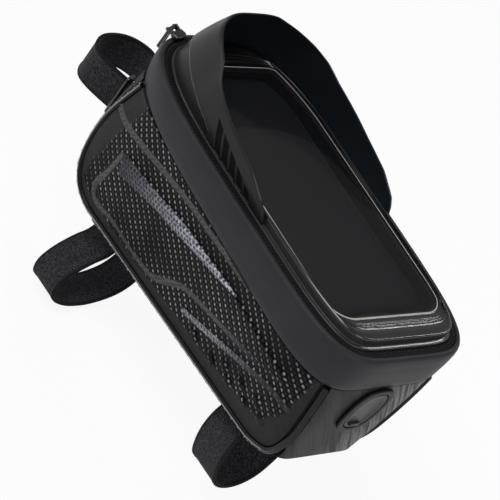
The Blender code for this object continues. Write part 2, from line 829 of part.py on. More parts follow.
def make_hinge_leaves():
    """Fabric hinge at the front, in its body half and its lid half."""
    points, normals = open_rim(lambda point: point.x > 0 and abs(point.y) < HINGE_HALF - 0.5, 9)
    low = LEAF_TOP - LEAF_DEPTH
    leaves = (
        ("hinge_leaf_body", -GAP - LEAF_THICK, -GAP, low),
        ("hinge_leaf_lid", -FRAME_INSET + GAP, -FRAME_INSET + GAP + LEAF_THICK, FRAME_BOTTOM),
    )
    for name, inner, outer, bottom in leaves:
        bm = bmesh.new()
        profile = ((inner, bottom), (outer, bottom), (outer, LEAF_TOP), (inner, LEAF_TOP))
        sweep(bm, points, normals, profile, closed=False)
        finish_mesh(name, bm, MATERIALS["tape"])


# Pieces of the lid


def window_line():
    """The window's outline with as many points as the rim, each facing its place on the rim."""
    outline = resample(rounded_rectangle(WINDOW_LENGTH, WINDOW_WIDTH, WINDOW_CORNER, 12), 360, closed=True)
    return resample(kept_inside(outline, CREST_INSET + STEPS_LEAST_WIDTH), RIM_STEPS, closed=True)


def window_ring(inset, height):
    return [Vector((*point, height)) for point in inset_outline(window_line(), inset)]


def make_lid_frame():
    """Glossy frame: a ledge for the visor, a crest, and fine steps down to the window."""
    crest = rim_ring(CREST_INSET + 0.6, 0.0, CREST_FRONT_EXTRA)
    window = window_ring(0.0, 0.0)

    def between(share, height):
        return [Vector((*a.lerp(b, share).xy, height)) for a, b in zip(crest, window)]

    rings = [
        rim_ring(FRAME_INSET, FRAME_BOTTOM), rim_ring(FRAME_INSET, LEDGE_TOP - 0.4),
        rim_ring(FRAME_INSET + 0.4, LEDGE_TOP), rim_ring(CREST_INSET - 0.2, LEDGE_TOP, CREST_FRONT_EXTRA),
        rim_ring(CREST_INSET, CREST_TOP - 0.8, CREST_FRONT_EXTRA), between(0.0, CREST_TOP),
        between(0.26, CREST_TOP), between(0.32, CREST_TOP - STEP_DROP),
        between(0.58, CREST_TOP - STEP_DROP), between(0.64, CREST_TOP - 2 * STEP_DROP),
        window_ring(0.0, CREST_TOP - 2 * STEP_DROP), window_ring(0.0, FRAME_BOTTOM),
    ]
    bm = bmesh.new()
    loft(bm, rings, closed=True)
    finish_mesh("lid_frame", bm, MATERIALS["gloss"])


def make_window():
    bm = bmesh.new()
    film = [point.xy for point in window_ring(GAP, 0.0)]
    prism(bm, film, FILM_BOTTOM, FILM_BOTTOM + FILM_THICK)
    finish_mesh("window_film", bm, MATERIALS["film"])
    top = FILM_BOTTOM - GAP
    bm = bmesh.new()
    rings = [
        window_ring(GAP, top), window_ring(GAP, top - GASKET_THICK),
        window_ring(GAP + GASKET_WIDTH, top - GASKET_THICK), window_ring(GAP + GASKET_WIDTH, top),
    ]
    loft(bm, rings, closed=True)
    finish_mesh("window_gasket", bm, MATERIALS["rubber"])


def make_retainer():
    """Padded flap under the lid that holds a device against the window, and its fastening tab."""
    top = FRAME_BOTTOM - GAP
    length = PAD_FRONT - PAD_REAR
    middle = Vector(((PAD_FRONT + PAD_REAR) / 2, 0.0))
    outline = [point + middle for point in rounded_rectangle(length, 2 * PAD_HALF_WIDTH, PAD_CORNER)]
    outline = kept_inside(resample(outline, 60, closed=True), PAD_MARGIN)
    rim = inset_outline(outline, 1.6)
    bm = bmesh.new()
    rings = []
    for shape, height in ((rim, top - PAD_THICK), (outline, top - PAD_THICK + 1.4), (outline, top)):
        rings.append([Vector((*point, height)) for point in shape])
    loft(bm, rings, closed=False)
    finish_mesh("retainer_pad", bm, MATERIALS["lining"])
    tab_front = PAD_REAR - GAP
    bm = bmesh.new()
    tab = [
        point + Vector((tab_front - TAB_LENGTH / 2, 0.0))
        for point in rounded_rectangle(TAB_LENGTH, 2 * TAB_HALF_WIDTH, 4.0)
    ]
    prism(bm, tab, top - TAB_THICK, top)
    finish_mesh("retainer_tab", bm, MATERIALS["strap"])


def visor_point(point, normal, lift_share, inner):
    """A point of the visor above a place on the rim, lift_share of the way up."""
    height = table_value(VISOR_STATIONS, point.x)
    lean = table_value(VISOR_STATIONS, point.x, 2)
    bulge = VISOR_BULGE * math.sin(math.pi * lift_share) * min(height / 30.0, 1.0)
    inset = FRAME_INSET + 0.1 + lean * lift_share - bulge + inner
    return Vector((*(point - normal * inset), LEDGE_TOP + GAP + height * lift_share))


def make_visor():
    """Hood that stands on the frame's ledge: tall round the front, low at the ends of its wings."""
    points, normals = open_rim(lambda point: point.x > VISOR_STATIONS[0][0], VISOR_COLUMNS)
    outer = []
    inner = []
    for point, normal in zip(points, normals):
        height = table_value(VISOR_STATIONS, point.x)
        skirt = table_value(VISOR_SKIRT, point.x) / height
        depth = VISOR_SKIRT_DEPTH if point.x > VISOR_SKIRT[0][0] else 0.0
        shares = (0.0, skirt, skirt + 0.9 / height, lerp(skirt, 1.0, 0.36), lerp(skirt, 1.0, 0.7), 1.0)
        insets = (depth, depth, 0.0, 0.0, 0.0, 0.25)
        if point.x <= VISOR_SKIRT[0][0]:
            shares = (0.0, 0.2, 0.4, 0.6, 0.8, 1.0)
        outer.append([visor_point(point, normal, share, inset) for share, inset in zip(shares, insets)])
        inner.append([visor_point(point, normal, share, VISOR_THICK) for share in shares])
    bm = bmesh.new()
    solid_between(bm, outer, inner)
    visor = finish_mesh("sun_visor", bm, MATERIALS["visor"])
    for side in (1, -1):
        for index in range(LOUVRES):
            apply_boolean(visor, louvre(index, side), "DIFFERENCE")


def louvre(index, side):
    """Cutter of one blind slot: it leans forward and ends in a point."""
    foot_x = LOUVRE_FIRST_X - index * LOUVRE_PITCH
    tip_z = LOUVRE_TIP - index * LOUVRE_TIP_DROP
    lean = LOUVRE_LEAN * (tip_z - LOUVRE_FOOT) / (LOUVRE_TIP - LOUVRE_FOOT)
    shoulder = 0.62
    outline = (
        (foot_x, LOUVRE_FOOT), (foot_x + lean + 0.6, tip_z),
        (foot_x + LOUVRE_WIDTH + lean * shoulder, lerp(LOUVRE_FOOT, tip_z, shoulder)),
        (foot_x + LOUVRE_WIDTH, LOUVRE_FOOT),
    )
    bm = bmesh.new()
    rings = []
    for far in (False, True):
        ring = []
        for x, z in outline:
            share = (z - LEDGE_TOP - GAP) / table_value(VISOR_STATIONS, x)
            rim = Vector((x, body_half_width(x, band_low(x)) - BAND_PROUD))
            y = visor_point(rim, Vector((0.0, 1.0)), share, LOUVRE_DEPTH).y
            ring.append(Vector((x, (RIM_HALF_WIDTH + 9.0 if far else y) * side, z)))
        rings.append(ring)
    loft(bm, rings, closed=False)
    return finish_mesh("louvre_cutter", bm, MATERIALS["visor"])


# Zip slider and its puller


def slider_centre():
    """Middle of the arc along which the slider travels, so that the arc passes through the rim."""
    share = 1 - (SLIDER_SIDE / RIM_HALF_WIDTH) ** RIM_FRONT_POWER
    rim_x = RIM_WIDEST_X + (RIM_FRONT - RIM_WIDEST_X) * share ** (1 / RIM_FRONT_POWER)
    angle = math.radians(SLIDER_REST)
    reach = Vector((math.cos(angle), math.sin(angle), 0.0)) * SLIDER_TRACK
    return Vector((rim_x, SLIDER_SIDE, 0.0)) - reach


def make_slider():
    """Slider over the lip, with two ears for the puller's barrel. Both turn about the track's centre."""
    angle = math.radians(SLIDER_REST)
    centre = slider_centre() * MM
    low = LIP_TOP + GAP
    high = low + SLIDER_HEIGHT
    half = SLIDER_LENGTH / 2
    inner = SLIDER_TRACK + SLIDER_INNER
    outer = SLIDER_TRACK + SLIDER_OUTER
    waist = 0.9
    outline = (
        (inner + waist, -half), (outer - waist, -half), (outer, -half * 0.4), (outer, half * 0.4),
        (outer - waist, half), (inner + waist, half), (inner, half * 0.4), (inner, -half * 0.4),
    )
    bm = bmesh.new()
    top = inset_outline(outline, 0.7)
    rings = []
    for shape, height in ((outline, low), (outline, high - 0.6), (top, high)):
        rings.append([Vector((a, b, height)) for a, b in shape])
    loft(bm, rings, closed=False)
    slider = finish_mesh("zip_slider", bm, MATERIALS["metal"])
    barrel = SLIDER_TRACK + PULL_OFFSET
    ear_inner = PULL_WIDTH / 2 + GAP
    for side in (1, -1):
        bm = bmesh.new()
        ends = sorted((side * ear_inner, side * (ear_inner + EAR_THICK)))
        ear = (
            (outer - 1.6, low + 0.3), (barrel + PULL_BARREL, low + 0.3),
            (barrel + PULL_BARREL + 0.6, PULL_AXIS_Z),
            (barrel, high + 0.8), (outer - 1.6, high - 0.3),
        )
        loft(bm, [[Vector((a, end, b)) for a, b in ear] for end in ends], closed=False)
        apply_boolean(slider, finish_mesh("ear", bm, MATERIALS["metal"]), "UNION")
    slider.location = centre
    slider.rotation_euler = (0.0, 0.0, angle)

    hinge = bpy.data.objects.new("puller_hinge", None)
    bpy.context.scene.collection.objects.link(hinge)
    hinge.parent = slider
    hinge.location = Vector((barrel, 0.0, PULL_AXIS_Z)) * MM
    bm = bmesh.new()
    sides = 10
    rings = []
    for end in (-PULL_WIDTH / 2, PULL_WIDTH / 2):
        turns = [2 * math.pi * k / sides for k in range(sides)]
        rings.append([
            Vector((PULL_BARREL * math.cos(turn), end, PULL_BARREL * math.sin(turn))) for turn in turns
        ])
    loft(bm, rings, closed=False)
    puller = finish_mesh("zip_puller", bm, MATERIALS["metal"])
    bm = bmesh.new()
    tongue = rounded_rectangle(PULL_LENGTH, PULL_WIDTH, 1.8)
    slot = rounded_rectangle(6.0, 2.0, 0.9)
    rings = []
    for x in (-PULL_THICK / 2, PULL_THICK / 2):
        rings.append([Vector((x, point.y, point.x - PULL_LENGTH / 2 - 0.3)) for point in tongue])
    loft(bm, rings, closed=False)
    apply_boolean(puller, finish_mesh("tongue", bm, MATERIALS["metal"]), "UNION")
    bm = bmesh.new()
    rings = []
    for x in (-3.0, 3.0):
        rings.append([Vector((x, point.y, point.x - PULL_LENGTH + 5.0)) for point in slot])
    loft(bm, rings, closed=False)
    apply_boolean(puller, finish_mesh("puller_slot", bm, MATERIALS["metal"]), "DIFFERENCE")
    puller.parent = hinge


# Straps, their keepers and rings, and the seat pad


def strap_path(which):
    """Closed middle line of the strap in (across, away)."""
    half = [Vector(point) for point in STRAP_LOOPS[which]]
    mirrored = [Vector((-point.x, point.y)) for point in reversed(half[1:-1])]
    loop = [Vector((point.x - STRAP_LEAN[which] * point.y, point.y)) for point in half + mirrored]
    return resample(smooth_line(loop, 12, closed=True), STRAP_POINTS, closed=True)


def make_strap_set(which, frame):
    """Strap loop, the webbing keeper that holds it to the wall, and the ring it is threaded through."""
    path = strap_path(which)
    normals = line_normals(path, closed=True)
    middle = -GAP - STRAP_THICK / 2
    half = STRAP_WIDTH / 2
    edge = STRAP_THICK / 2
    section = ((-half, -edge + 0.5), (-half, edge - 0.5), (-half + 0.5, edge), (half - 0.5, edge),
               (half, edge - 0.5), (half, -edge + 0.5), (half - 0.5, -edge), (-half + 0.5, -edge))
    rings = []
    top = max(point.y for point in path)
    for point, normal in zip(path, normals):
        place = Vector((0.0, point.x, point.y - top + middle))
        across = Vector((0.0, normal.x, normal.y))
        rings.append([place + Vector((a, 0.0, 0.0)) + across * b for a, b in section])
    bm = bmesh.new()
    loft(bm, rings, closed=True)
    finish_mesh("strap_" + which, bm, MATERIALS["strap"], parent=frame)

    deep = -GAP - STRAP_THICK - KEEPER_CLEARANCE
    inside = half + GAP
    outside = inside + KEEPER_THICK
    keeper = (
        (-outside - KEEPER_FOOT, -GAP), (-inside, -GAP), (-inside, deep), (inside, deep), (inside, -GAP),
        (outside + KEEPER_FOOT, -GAP), (outside + KEEPER_FOOT, -GAP - KEEPER_THICK),
        (outside, -GAP - KEEPER_THICK),
        (outside, deep - KEEPER_THICK), (-outside, deep - KEEPER_THICK), (-outside, -GAP - KEEPER_THICK),
        (-outside - KEEPER_FOOT, -GAP - KEEPER_THICK),
    )
    bm = bmesh.new()
    ends = (-KEEPER_HALF_WIDTH, KEEPER_HALF_WIDTH)
    loft(bm, [[Vector((a, y, b)) for a, b in keeper] for y in ends], closed=False)
    finish_mesh("keeper_" + which, bm, MATERIALS["piping"], parent=frame)

    index = int(STRAP_POINTS * STRAP_RING_AT[which])
    if path[index].x < 0:
        index = STRAP_POINTS - index
    place = Vector((0.0, path[index].x, path[index].y - top + middle))
    across = Vector((0.0, normals[index].x, normals[index].y))
    along = across.cross(Vector((1.0, 0.0, 0.0)))
    grow = RING_CLEARANCE + RING_WIRE
    outline = rounded_rectangle(STRAP_WIDTH + 2 * grow, STRAP_THICK + 2 * grow, grow, 3)[1:]
    sides = 6
    rings = []
    ring_normals = line_normals(outline, closed=True)
    for point, normal in zip(outline, ring_normals):
        ring = []
        for k in range(sides):
            turn = 2 * math.pi * k / sides
            spot = point + normal * (RING_WIRE * math.cos(turn))
            beside = along * (RING_WIRE * math.sin(turn))
            ring.append(place + Vector((spot.x, 0.0, 0.0)) + across * spot.y + beside)
        rings.append(ring)
    bm = bmesh.new()
    loft(bm, rings, closed=True)
    finish_mesh("ring_" + which, bm, MATERIALS["gloss"], parent=frame)


def make_frame(name, location, x_axis, z_axis):
    """Empty whose z leaves the bag's inside and whose x runs along a strap's width."""
    frame = bpy.data.objects.new(name, None)
    bpy.context.scene.collection.objects.link(frame)
    y_axis = z_axis.cross(x_axis)
    matrix = Matrix((x_axis, y_axis, z_axis)).transposed().to_4x4()
    matrix.translation = location * MM
    frame.matrix_world = matrix
    return frame


def make_base_gear():
    slope = Vector((1.0, 0.0, BASE_SLOPE)).normalized()
    up = Vector((-slope.z, 0.0, slope.x))
    for which, x in (("mid", MID_STRAP_X), ("rear", REAR_STRAP_X)):
        frame = make_frame("base_frame_" + which, Vector((x, 0.0, base_height(x))), slope, up)
        make_strap_set(which, frame)
    wall_x = body_end_x(0.0, RIM_FRONT, FRONT_STRAP_Z)
    front = make_frame(
        "front_frame", Vector((wall_x, 0.0, FRONT_STRAP_Z)),
        Vector((0.0, 0.0, 1.0)), Vector((-1.0, 0.0, 0.0)),
    )
    make_strap_set("front", front)
    seat = make_frame("seat_frame", Vector((0.0, 0.0, 0.0)), slope, up)
    thick = BASE_HEIGHT * slope.x - GAP
    outline = rounded_rectangle(SEAT_LENGTH, SEAT_WIDTH, SEAT_CORNER)
    bm = bmesh.new()
    prism(bm, outline, 0.0, thick)
    finish_mesh("seat_pad", bm, MATERIALS["rubber"], parent=seat)


clear_scene()
MATERIALS = {
    "side": make_material("moulded_side", BLACK_SATIN, 0.42),
    "wall": make_material("end_wall", CHARCOAL, 0.55),
    "band": make_material("rim_band", CHARCOAL, 0.5),
    "piping": make_material("piping_and_webbing", BLACK_GLOSS, 0.6),
    "tape": make_material("zip_tape", BLACK_SATIN, 0.5),
    "gloss": make_material("gloss_plastic", BLACK_GLOSS, 0.12),
    "visor": make_material("visor_plastic", CHARCOAL, 0.45),
    "film": make_material("clear_film", (0.8, 0.8, 0.8), 0.05, alpha=0.3),
    "lining": make_material("padded_lining", BLACK_SATIN, 0.9),
    "rubber": make_material("rubber", RUBBER, 0.7),
    "strap": make_material("hook_and_loop", WEBBING, 0.95),
    "metal": make_material("coated_metal", BLACK_SATIN, 0.35, metallic=0.8),
}
make_shell("shell_left", 1)
make_shell("shell_right", -1)
make_gusset()
make_piping("piping_left", 1)
make_piping("piping_right", -1)
make_rim_band()
make_zip_tapes()
make_hinge_leaves()
make_lid_frame()
make_window()
make_retainer()
make_visor()
make_slider()
make_port()
make_base_gear()
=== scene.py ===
import math
import bmesh
import bpy
import numpy as np
from mathutils import Matrix, Vector


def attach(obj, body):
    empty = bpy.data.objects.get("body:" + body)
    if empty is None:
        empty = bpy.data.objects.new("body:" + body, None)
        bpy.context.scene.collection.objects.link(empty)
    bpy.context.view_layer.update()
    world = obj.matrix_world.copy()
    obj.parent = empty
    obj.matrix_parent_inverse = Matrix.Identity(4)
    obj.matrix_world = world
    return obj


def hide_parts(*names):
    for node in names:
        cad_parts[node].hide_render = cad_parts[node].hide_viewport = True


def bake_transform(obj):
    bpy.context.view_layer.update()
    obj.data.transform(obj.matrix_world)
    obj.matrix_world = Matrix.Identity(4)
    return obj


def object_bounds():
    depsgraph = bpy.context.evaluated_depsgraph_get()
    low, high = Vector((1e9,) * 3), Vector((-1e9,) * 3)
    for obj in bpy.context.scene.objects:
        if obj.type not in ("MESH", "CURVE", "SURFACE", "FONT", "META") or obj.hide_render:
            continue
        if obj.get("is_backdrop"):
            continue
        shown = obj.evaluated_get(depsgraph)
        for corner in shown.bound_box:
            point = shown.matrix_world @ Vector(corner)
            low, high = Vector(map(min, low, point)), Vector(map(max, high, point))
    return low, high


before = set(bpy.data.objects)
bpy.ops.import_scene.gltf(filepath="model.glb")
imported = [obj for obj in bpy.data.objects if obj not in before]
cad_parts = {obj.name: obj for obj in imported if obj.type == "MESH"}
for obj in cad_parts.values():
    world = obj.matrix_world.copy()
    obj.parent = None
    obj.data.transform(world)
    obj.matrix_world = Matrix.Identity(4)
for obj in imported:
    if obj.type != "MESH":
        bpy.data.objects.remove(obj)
cadLow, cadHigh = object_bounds()
mm = 0.001

# Sizes are in millimetres: X to the handlebar, Y to the rider's left, Z up
body = {
    "rimFront": 104.5, "rimRear": -101.0, "rimWidest": 10.0, "rimHalf": 48.5, "frontPower": 3.0,
    "rearPower": 5.5, "lipTop": 97.4, "bandLow": 76.9, "bandSlope": 0.03, "bandProud": 1.5,
    "baseHeight": 2.0, "baseSlope": -0.083, "baseHalf": 27.0, "squareFront": 11.5, "squareRear": 6.0,
    "rearLean": 3.0, "skin": 1.8, "gap": 0.3,
}
seam = {
    "front": [(88.0, 79.54), (92.5, 66.4), (97.7, 50.7), (101.2, 34.4), (101.6, 20.4), (99.0, 9.2),
              (94.0, 1.4), (87.5, -3.0), (80.0, -4.64)],
    "rear": [(-78.0, 8.474), (-86.0, 11.4), (-92.0, 15.4), (-95.8, 22.9), (-98.4, 36.4), (-98.9, 58.4),
             (-98.4, 73.95)],
    "piping": 1.7,
}


# Helpers for lines and meshes


def catmull(points, steps, closed=False):
    pts = np.array(points, float)
    count = len(pts)
    result = []
    for i in range(count if closed else count - 1):
        places = range(i - 1, i + 3)
        a, b, c, d = (pts[k % count if closed else min(max(k, 0), count - 1)] for k in places)
        for step in range(steps):
            t = step / steps
            bend = (2 * a - 5 * b + 4 * c - d) * t ** 2 + (3 * b - a - 3 * c + d) * t ** 3
            result.append(0.5 * (2 * b + (c - a) * t + bend))
    if not closed:
        result.append(pts[-1])
    return np.array(result)


def evenly(points, count, closed=False):
    pts = np.vstack([points, points[:1]]) if closed else np.array(points, float)
    steps = np.r_[0.0, np.cumsum(np.linalg.norm(np.diff(pts, axis=0), axis=1))]
    wanted = np.linspace(0, steps[-1], count + 1)[:-1] if closed else np.linspace(0, steps[-1], count)
    return np.stack([np.interp(wanted, steps, pts[:, k]) for k in range(pts.shape[1])], axis=1)


def sideways(points, closed=False):
    if closed:
        t = np.roll(points, -1, axis=0) - np.roll(points, 1, axis=0)
    else:
        t = np.gradient(points, axis=0)
    n = np.stack([t[:, 1], -t[:, 0]], axis=1)
    return n / np.linalg.norm(n, axis=1)[:, None]


def smoothStep(low, high, x):
    t = np.clip((x - low) / (high - low), 0, 1)
    return t * t * (3 - 2 * t)


def addObject(name, data):
    item = bpy.data.objects.new(name, data)
    bpy.context.scene.collection.objects.link(item)
    return item


def bake(item):
    # Makes a plain mesh of what the modifiers leave
    graph = bpy.context.evaluated_depsgraph_get()
    item.data = bpy.data.meshes.new_from_object(item.evaluated_get(graph))
    item.modifiers.clear()


def meshFrom(name, points, faces, material, angle=40):
    mesh = bpy.data.meshes.new(name)
    mesh.from_pydata((np.asarray(points) * mm).tolist(), [], [list(f) for f in faces])
    item = addObject(name, mesh)
    tidyFaces(item, angle)
    mesh.materials.append(material)
    return item


def tidyFaces(item, angle=40):
    bm = bmesh.new()
    bm.from_mesh(item.data)
    bmesh.ops.recalc_face_normals(bm, faces=bm.faces)
    if bm.calc_volume(signed=True) < 0:
        bmesh.ops.reverse_faces(bm, faces=bm.faces)
    bm.to_mesh(item.data)
    bm.free()
    item.data.shade_smooth()
    item.data.set_sharp_from_angle(angle=math.radians(angle))


def gridFaces(rows, columns, start=0, wrapRows=False, wrapColumns=False):
    faces = []
    for i in range(rows if wrapRows else rows - 1):
        near = start + i * columns
        far = start + (i + 1) % rows * columns
        for j in range(columns if wrapColumns else columns - 1):
            k = (j + 1) % columns
            faces.append((near + j, near + k, far + k, far + j))
    return faces


def slab(name, outer, inner, material, angle=40):
    rows, columns = outer.shape[:2]
    points = np.vstack([outer.reshape(-1, 3), inner.reshape(-1, 3)])
    shift = rows * columns
    faces = gridFaces(rows, columns) + gridFaces(rows, columns, shift)
    edge = [(0, j) for j in range(columns)] + [(i, columns - 1) for i in range(1, rows)]
    edge += [(rows - 1, j) for j in range(columns - 2, -1, -1)] + [(i, 0) for i in range(rows - 2, 0, -1)]
    ring = [i * columns + j for i, j in edge]
    for a, b in zip(ring, ring[1:] + ring[:1]):
        faces.append((a, b, b + shift, a + shift))
    return meshFrom(name, points, faces, material, angle)


def tube(name, rings, material, closed, angle=40):
    rings = np.asarray(rings)
    rows, columns = rings.shape[:2]
    faces = gridFaces(rows, columns, wrapRows=closed, wrapColumns=True)
    if not closed:
        faces += [tuple(range(columns)), tuple(range((rows - 1) * columns, rows * columns))]
    return meshFrom(name, rings.reshape(-1, 3), faces, material, angle)


def roundSection(points, radius, steps=3):
    # Rounds each corner of a closed profile
    result = []
    count = len(points)
    pts = [np.array(p, float) for p in points]
    for i, p in enumerate(pts):
        a = pts[i - 1] - p
        b = pts[(i + 1) % count] - p
        reach = min(radius, 0.45 * np.linalg.norm(a), 0.45 * np.linalg.norm(b))
        a = p + a / np.linalg.norm(a) * reach
        b = p + b / np.linalg.norm(b) * reach
        for k in range(steps + 1):
            t = k / steps
            result.append((1 - t) ** 2 * a + 2 * t * (1 - t) * p + t ** 2 * b)
    return np.array(result)


def cut(item, tool, operation="DIFFERENCE"):
    modifier = item.modifiers.new("cut", "BOOLEAN")
    modifier.operation = operation
    modifier.object = tool
    bake(item)
    bpy.data.objects.remove(tool, do_unlink=True)


# The body's surface


def squared(value, power):
    return np.sign(value) * np.abs(value) ** (2 / power)


def superellipse(halfA, halfB, power, count):
    a = np.linspace(0, 2 * math.pi, count, endpoint=False)
    return np.stack([halfA * squared(np.cos(a), power), halfB * squared(np.sin(a), power)], axis=1)


def rimShape(front):
    power = np.where(front, body["frontPower"], body["rearPower"])
    reach = np.where(front, body["rimFront"] - body["rimWidest"], body["rimWidest"] - body["rimRear"])
    return power, reach


def rimLine(count):
    a = np.linspace(0, 2 * math.pi, 1440, endpoint=False)
    power, reach = rimShape(np.cos(a) > 0)
    x = body["rimWidest"] + reach * squared(np.cos(a), power)
    y = body["rimHalf"] * squared(np.sin(a), power)
    return evenly(np.stack([x, y], axis=1), count, closed=True)


def baseHeight(x):
    return body["baseHeight"] + body["baseSlope"] * x


def bandLow(x):
    return body["bandLow"] + body["bandSlope"] * x


def levelShape(x, z):
    share = np.clip((z - baseHeight(x)) / (bandLow(x) - baseHeight(x)), 0, 1)
    half = body["baseHalf"] + (body["rimHalf"] + body["bandProud"] - body["baseHalf"]) * share
    front = x > body["rimWidest"]
    reach = np.where(front, body["rimFront"] - body["rimWidest"] + 1 + 0.5 * share,
                     body["rimWidest"] - body["rimRear"] - 1.5 + body["rearLean"] * share)
    power = np.where(front, body["frontPower"] + 0.2 + body["squareFront"] * (1 - share) ** 1.4,
                     body["rearPower"] + body["squareRear"] * (1 - share))
    return share, half, reach, power


def halfWidth(x, z):
    _, half, reach, power = levelShape(x, z)
    part = np.minimum(np.abs(x - body["rimWidest"]) / reach, 0.9995)
    return half * (1 - part ** power) ** (1 / power)


def endWallX(y, x, z):
    _, half, reach, power = levelShape(x, z)
    part = np.minimum(np.abs(y) / half, 0.9995)
    return body["rimWidest"] + np.copysign(reach, x) * (1 - part ** power) ** (1 / power)


def seamLine(count):
    line = np.vstack([catmull(seam["front"], 10), catmull(seam["rear"], 10)])
    points = evenly(line, count)
    t = np.gradient(points, axis=0)
    n = np.stack([-t[:, 1], t[:, 0]], axis=1)
    return points, n / np.linalg.norm(n, axis=1)[:, None]


# Materials


def addNode(tree, kind, settings, inputs):
    made = tree.nodes.new(kind)
    for key, value in settings.items():
        setattr(made, key, value)
    for key, value in inputs.items():
        value = getattr(value, "socket", value)
        if isinstance(value, bpy.types.NodeSocket):
            tree.links.new(value, made.inputs[key])
        else:
            made.inputs[key].default_value = value
    return made


class Value:
    # Wraps a socket, so that sums on values add Math nodes
    def __init__(self, sheet, socket):
        self.sheet = sheet
        self.socket = socket

    def maths(self, operation, *others, first=None):
        values = (self, *others) if first is None else (first, self)
        node = self.sheet.node("ShaderNodeMath", {"operation": operation}, dict(enumerate(values)))
        return Value(self.sheet, node.outputs[0])

    def __add__(self, other):
        return self.maths("ADD", other)

    def __mul__(self, other):
        return self.maths("MULTIPLY", other)

    def __sub__(self, other):
        return self.maths("SUBTRACT", other)

    def __rsub__(self, other):
        return self.maths("SUBTRACT", first=other)

    def __truediv__(self, other):
        return self.maths("DIVIDE", other)

    __radd__ = __add__
    __rmul__ = __mul__

    def soft(self, low, high):
        node = self.sheet.node("ShaderNodeMapRange", {"interpolation_type": "SMOOTHSTEP"},
                               {"Value": self, "From Min": low, "From Max": high})
        return Value(self.sheet, node.outputs[0])


class Finish:
    def __init__(self, name, colour, roughness, metallic=0.0, coat=0.0, sheen=0.0, specular=0.5):
        self.material = bpy.data.materials.new(name)
        self.material.use_nodes = True
        self.tree = self.material.node_tree
        self.shader = self.tree.nodes["Principled BSDF"]
        constants = {"Base Color": (*colour, 1), "Roughness": roughness, "Metallic": metallic,
                     "Coat Weight": coat, "Coat Roughness": 0.12, "Sheen Weight": sheen,
                     "Specular IOR Level": specular}
        for key, value in constants.items():
            self.shader.inputs[key].default_value = value
        self.coords = None

    def node(self, kind, settings, inputs):
        return addNode(self.tree, kind, settings, inputs)

    def place(self):
        # X, Y and Z on the object, in millimetres
        if self.coords is None:
            source = self.node("ShaderNodeTexCoord", {}, {}).outputs["Object"]
            scaled = self.node("ShaderNodeVectorMath", {"operation": "SCALE"}, {0: source, "Scale": 1 / mm})
            self.vector = scaled.outputs[0]
            split = self.node("ShaderNodeSeparateXYZ", {}, {0: self.vector})
            self.coords = [Value(self, split.outputs[i]) for i in range(3)]
        return self.coords

    def attribute(self, name):
        return Value(self, self.node("ShaderNodeAttribute", {"attribute_name": name}, {}).outputs["Fac"])

    def noise(self, scale, detail=3.0, roughness=0.6, vector=None):
        self.place()
        inputs = {"Vector": vector or self.vector, "Scale": scale, "Detail": detail, "Roughness": roughness}
        return Value(self, self.node("ShaderNodeTexNoise", {}, inputs).outputs[0])

    def between(self, mask, first, second):
        colours = [(*v, 1) if isinstance(v, tuple) else v for v in (first, second)]
        inputs = {0: mask, 6: colours[0], 7: colours[1]}
        return self.node("ShaderNodeMix", {"data_type": "RGBA"}, inputs).outputs[2]

    def feed(self, name, value):
        self.tree.links.new(getattr(value, "socket", value), self.shader.inputs[name])

    def bump(self, height, distance, strength=1.0):
        inputs = {"Strength": strength, "Distance": distance * mm, "Height": height}
        self.feed("Normal", self.node("ShaderNodeBump", {}, inputs).outputs[0])


def wave(value, turns):
    # Goes from 0 to 1 and back over 1 / turns
    return (value * (turns * 2 * math.pi)).maths("SINE") * 0.5 + 0.5


finishes = {
    # The dash colour is partly the weave dots' own tone and partly painted glints
    "side": (0.0022, 0.0022, 0.0028), "dash": (0.33, 0.33, 0.345), "ribbon": (0.078, 0.078, 0.080),
    "smooth": (0.024, 0.024, 0.025), "smoothDark": (0.018, 0.018, 0.019),
    # The next two colours are a painted reflection on the facet: a dark ground and light flecks
    "facetPaintedReflectionDark": (0.010, 0.010, 0.014), "facetPaintedReflection": (0.50, 0.50, 0.57),
    "dashAlong": (0.737, 0.676), "dashAcross": (0.676, -0.737), "dashPitch": 2.7, "columnPitch": 4.85,
    "dashLength": 1.15, "dashWidth": 0.95, "dimColumn": 0.07,
    # The stripe colour is partly the wall's pattern and partly painted light
    "wall": (0.010, 0.010, 0.011), "wallStripe": (0.26, 0.26, 0.25), "wallSlant": 0.74, "wallStripes": 0.42,
    "bandDark": (0.014, 0.014, 0.0165), "bandLight": (0.024, 0.024, 0.028),
    # The bead colour is a painted highlight along the piping's two edges
    "piping": (0.004, 0.004, 0.0045), "bead": (0.34, 0.34, 0.35), "thread": (0.33, 0.33, 0.35),
    "tape": (0.007, 0.007, 0.008), "gloss": (0.0035, 0.0035, 0.004),
    # On the next line, the last colour is a painted highlight on the visor skirt's step
    "visor": (0.012, 0.012, 0.0132), "visorInside": (0.006, 0.008, 0.011), "skirtPaintedHighlight": (0.13, 0.13, 0.13),
    # The slot colour is painted shade in the visor's shallow slots
    "slot": (0.0012, 0.0012, 0.0014), "rubber": (0.005, 0.005, 0.006), "flap": (0.020, 0.020, 0.023),
    "liningDark": (0.005, 0.005, 0.006), "liningLight": (0.012, 0.012, 0.0135),
    "strap": (0.006, 0.006, 0.0075), "strapPile": (0.075, 0.075, 0.085), "webbing": (0.010, 0.010, 0.011),
    # The film edge colour is a painted highlight round the window
    "metal": (0.045, 0.045, 0.048), "film": (0.012, 0.013, 0.015), "filmEdgeHighlight": (0.55, 0.52, 0.50),
    "filmAlpha": 0.22,
}


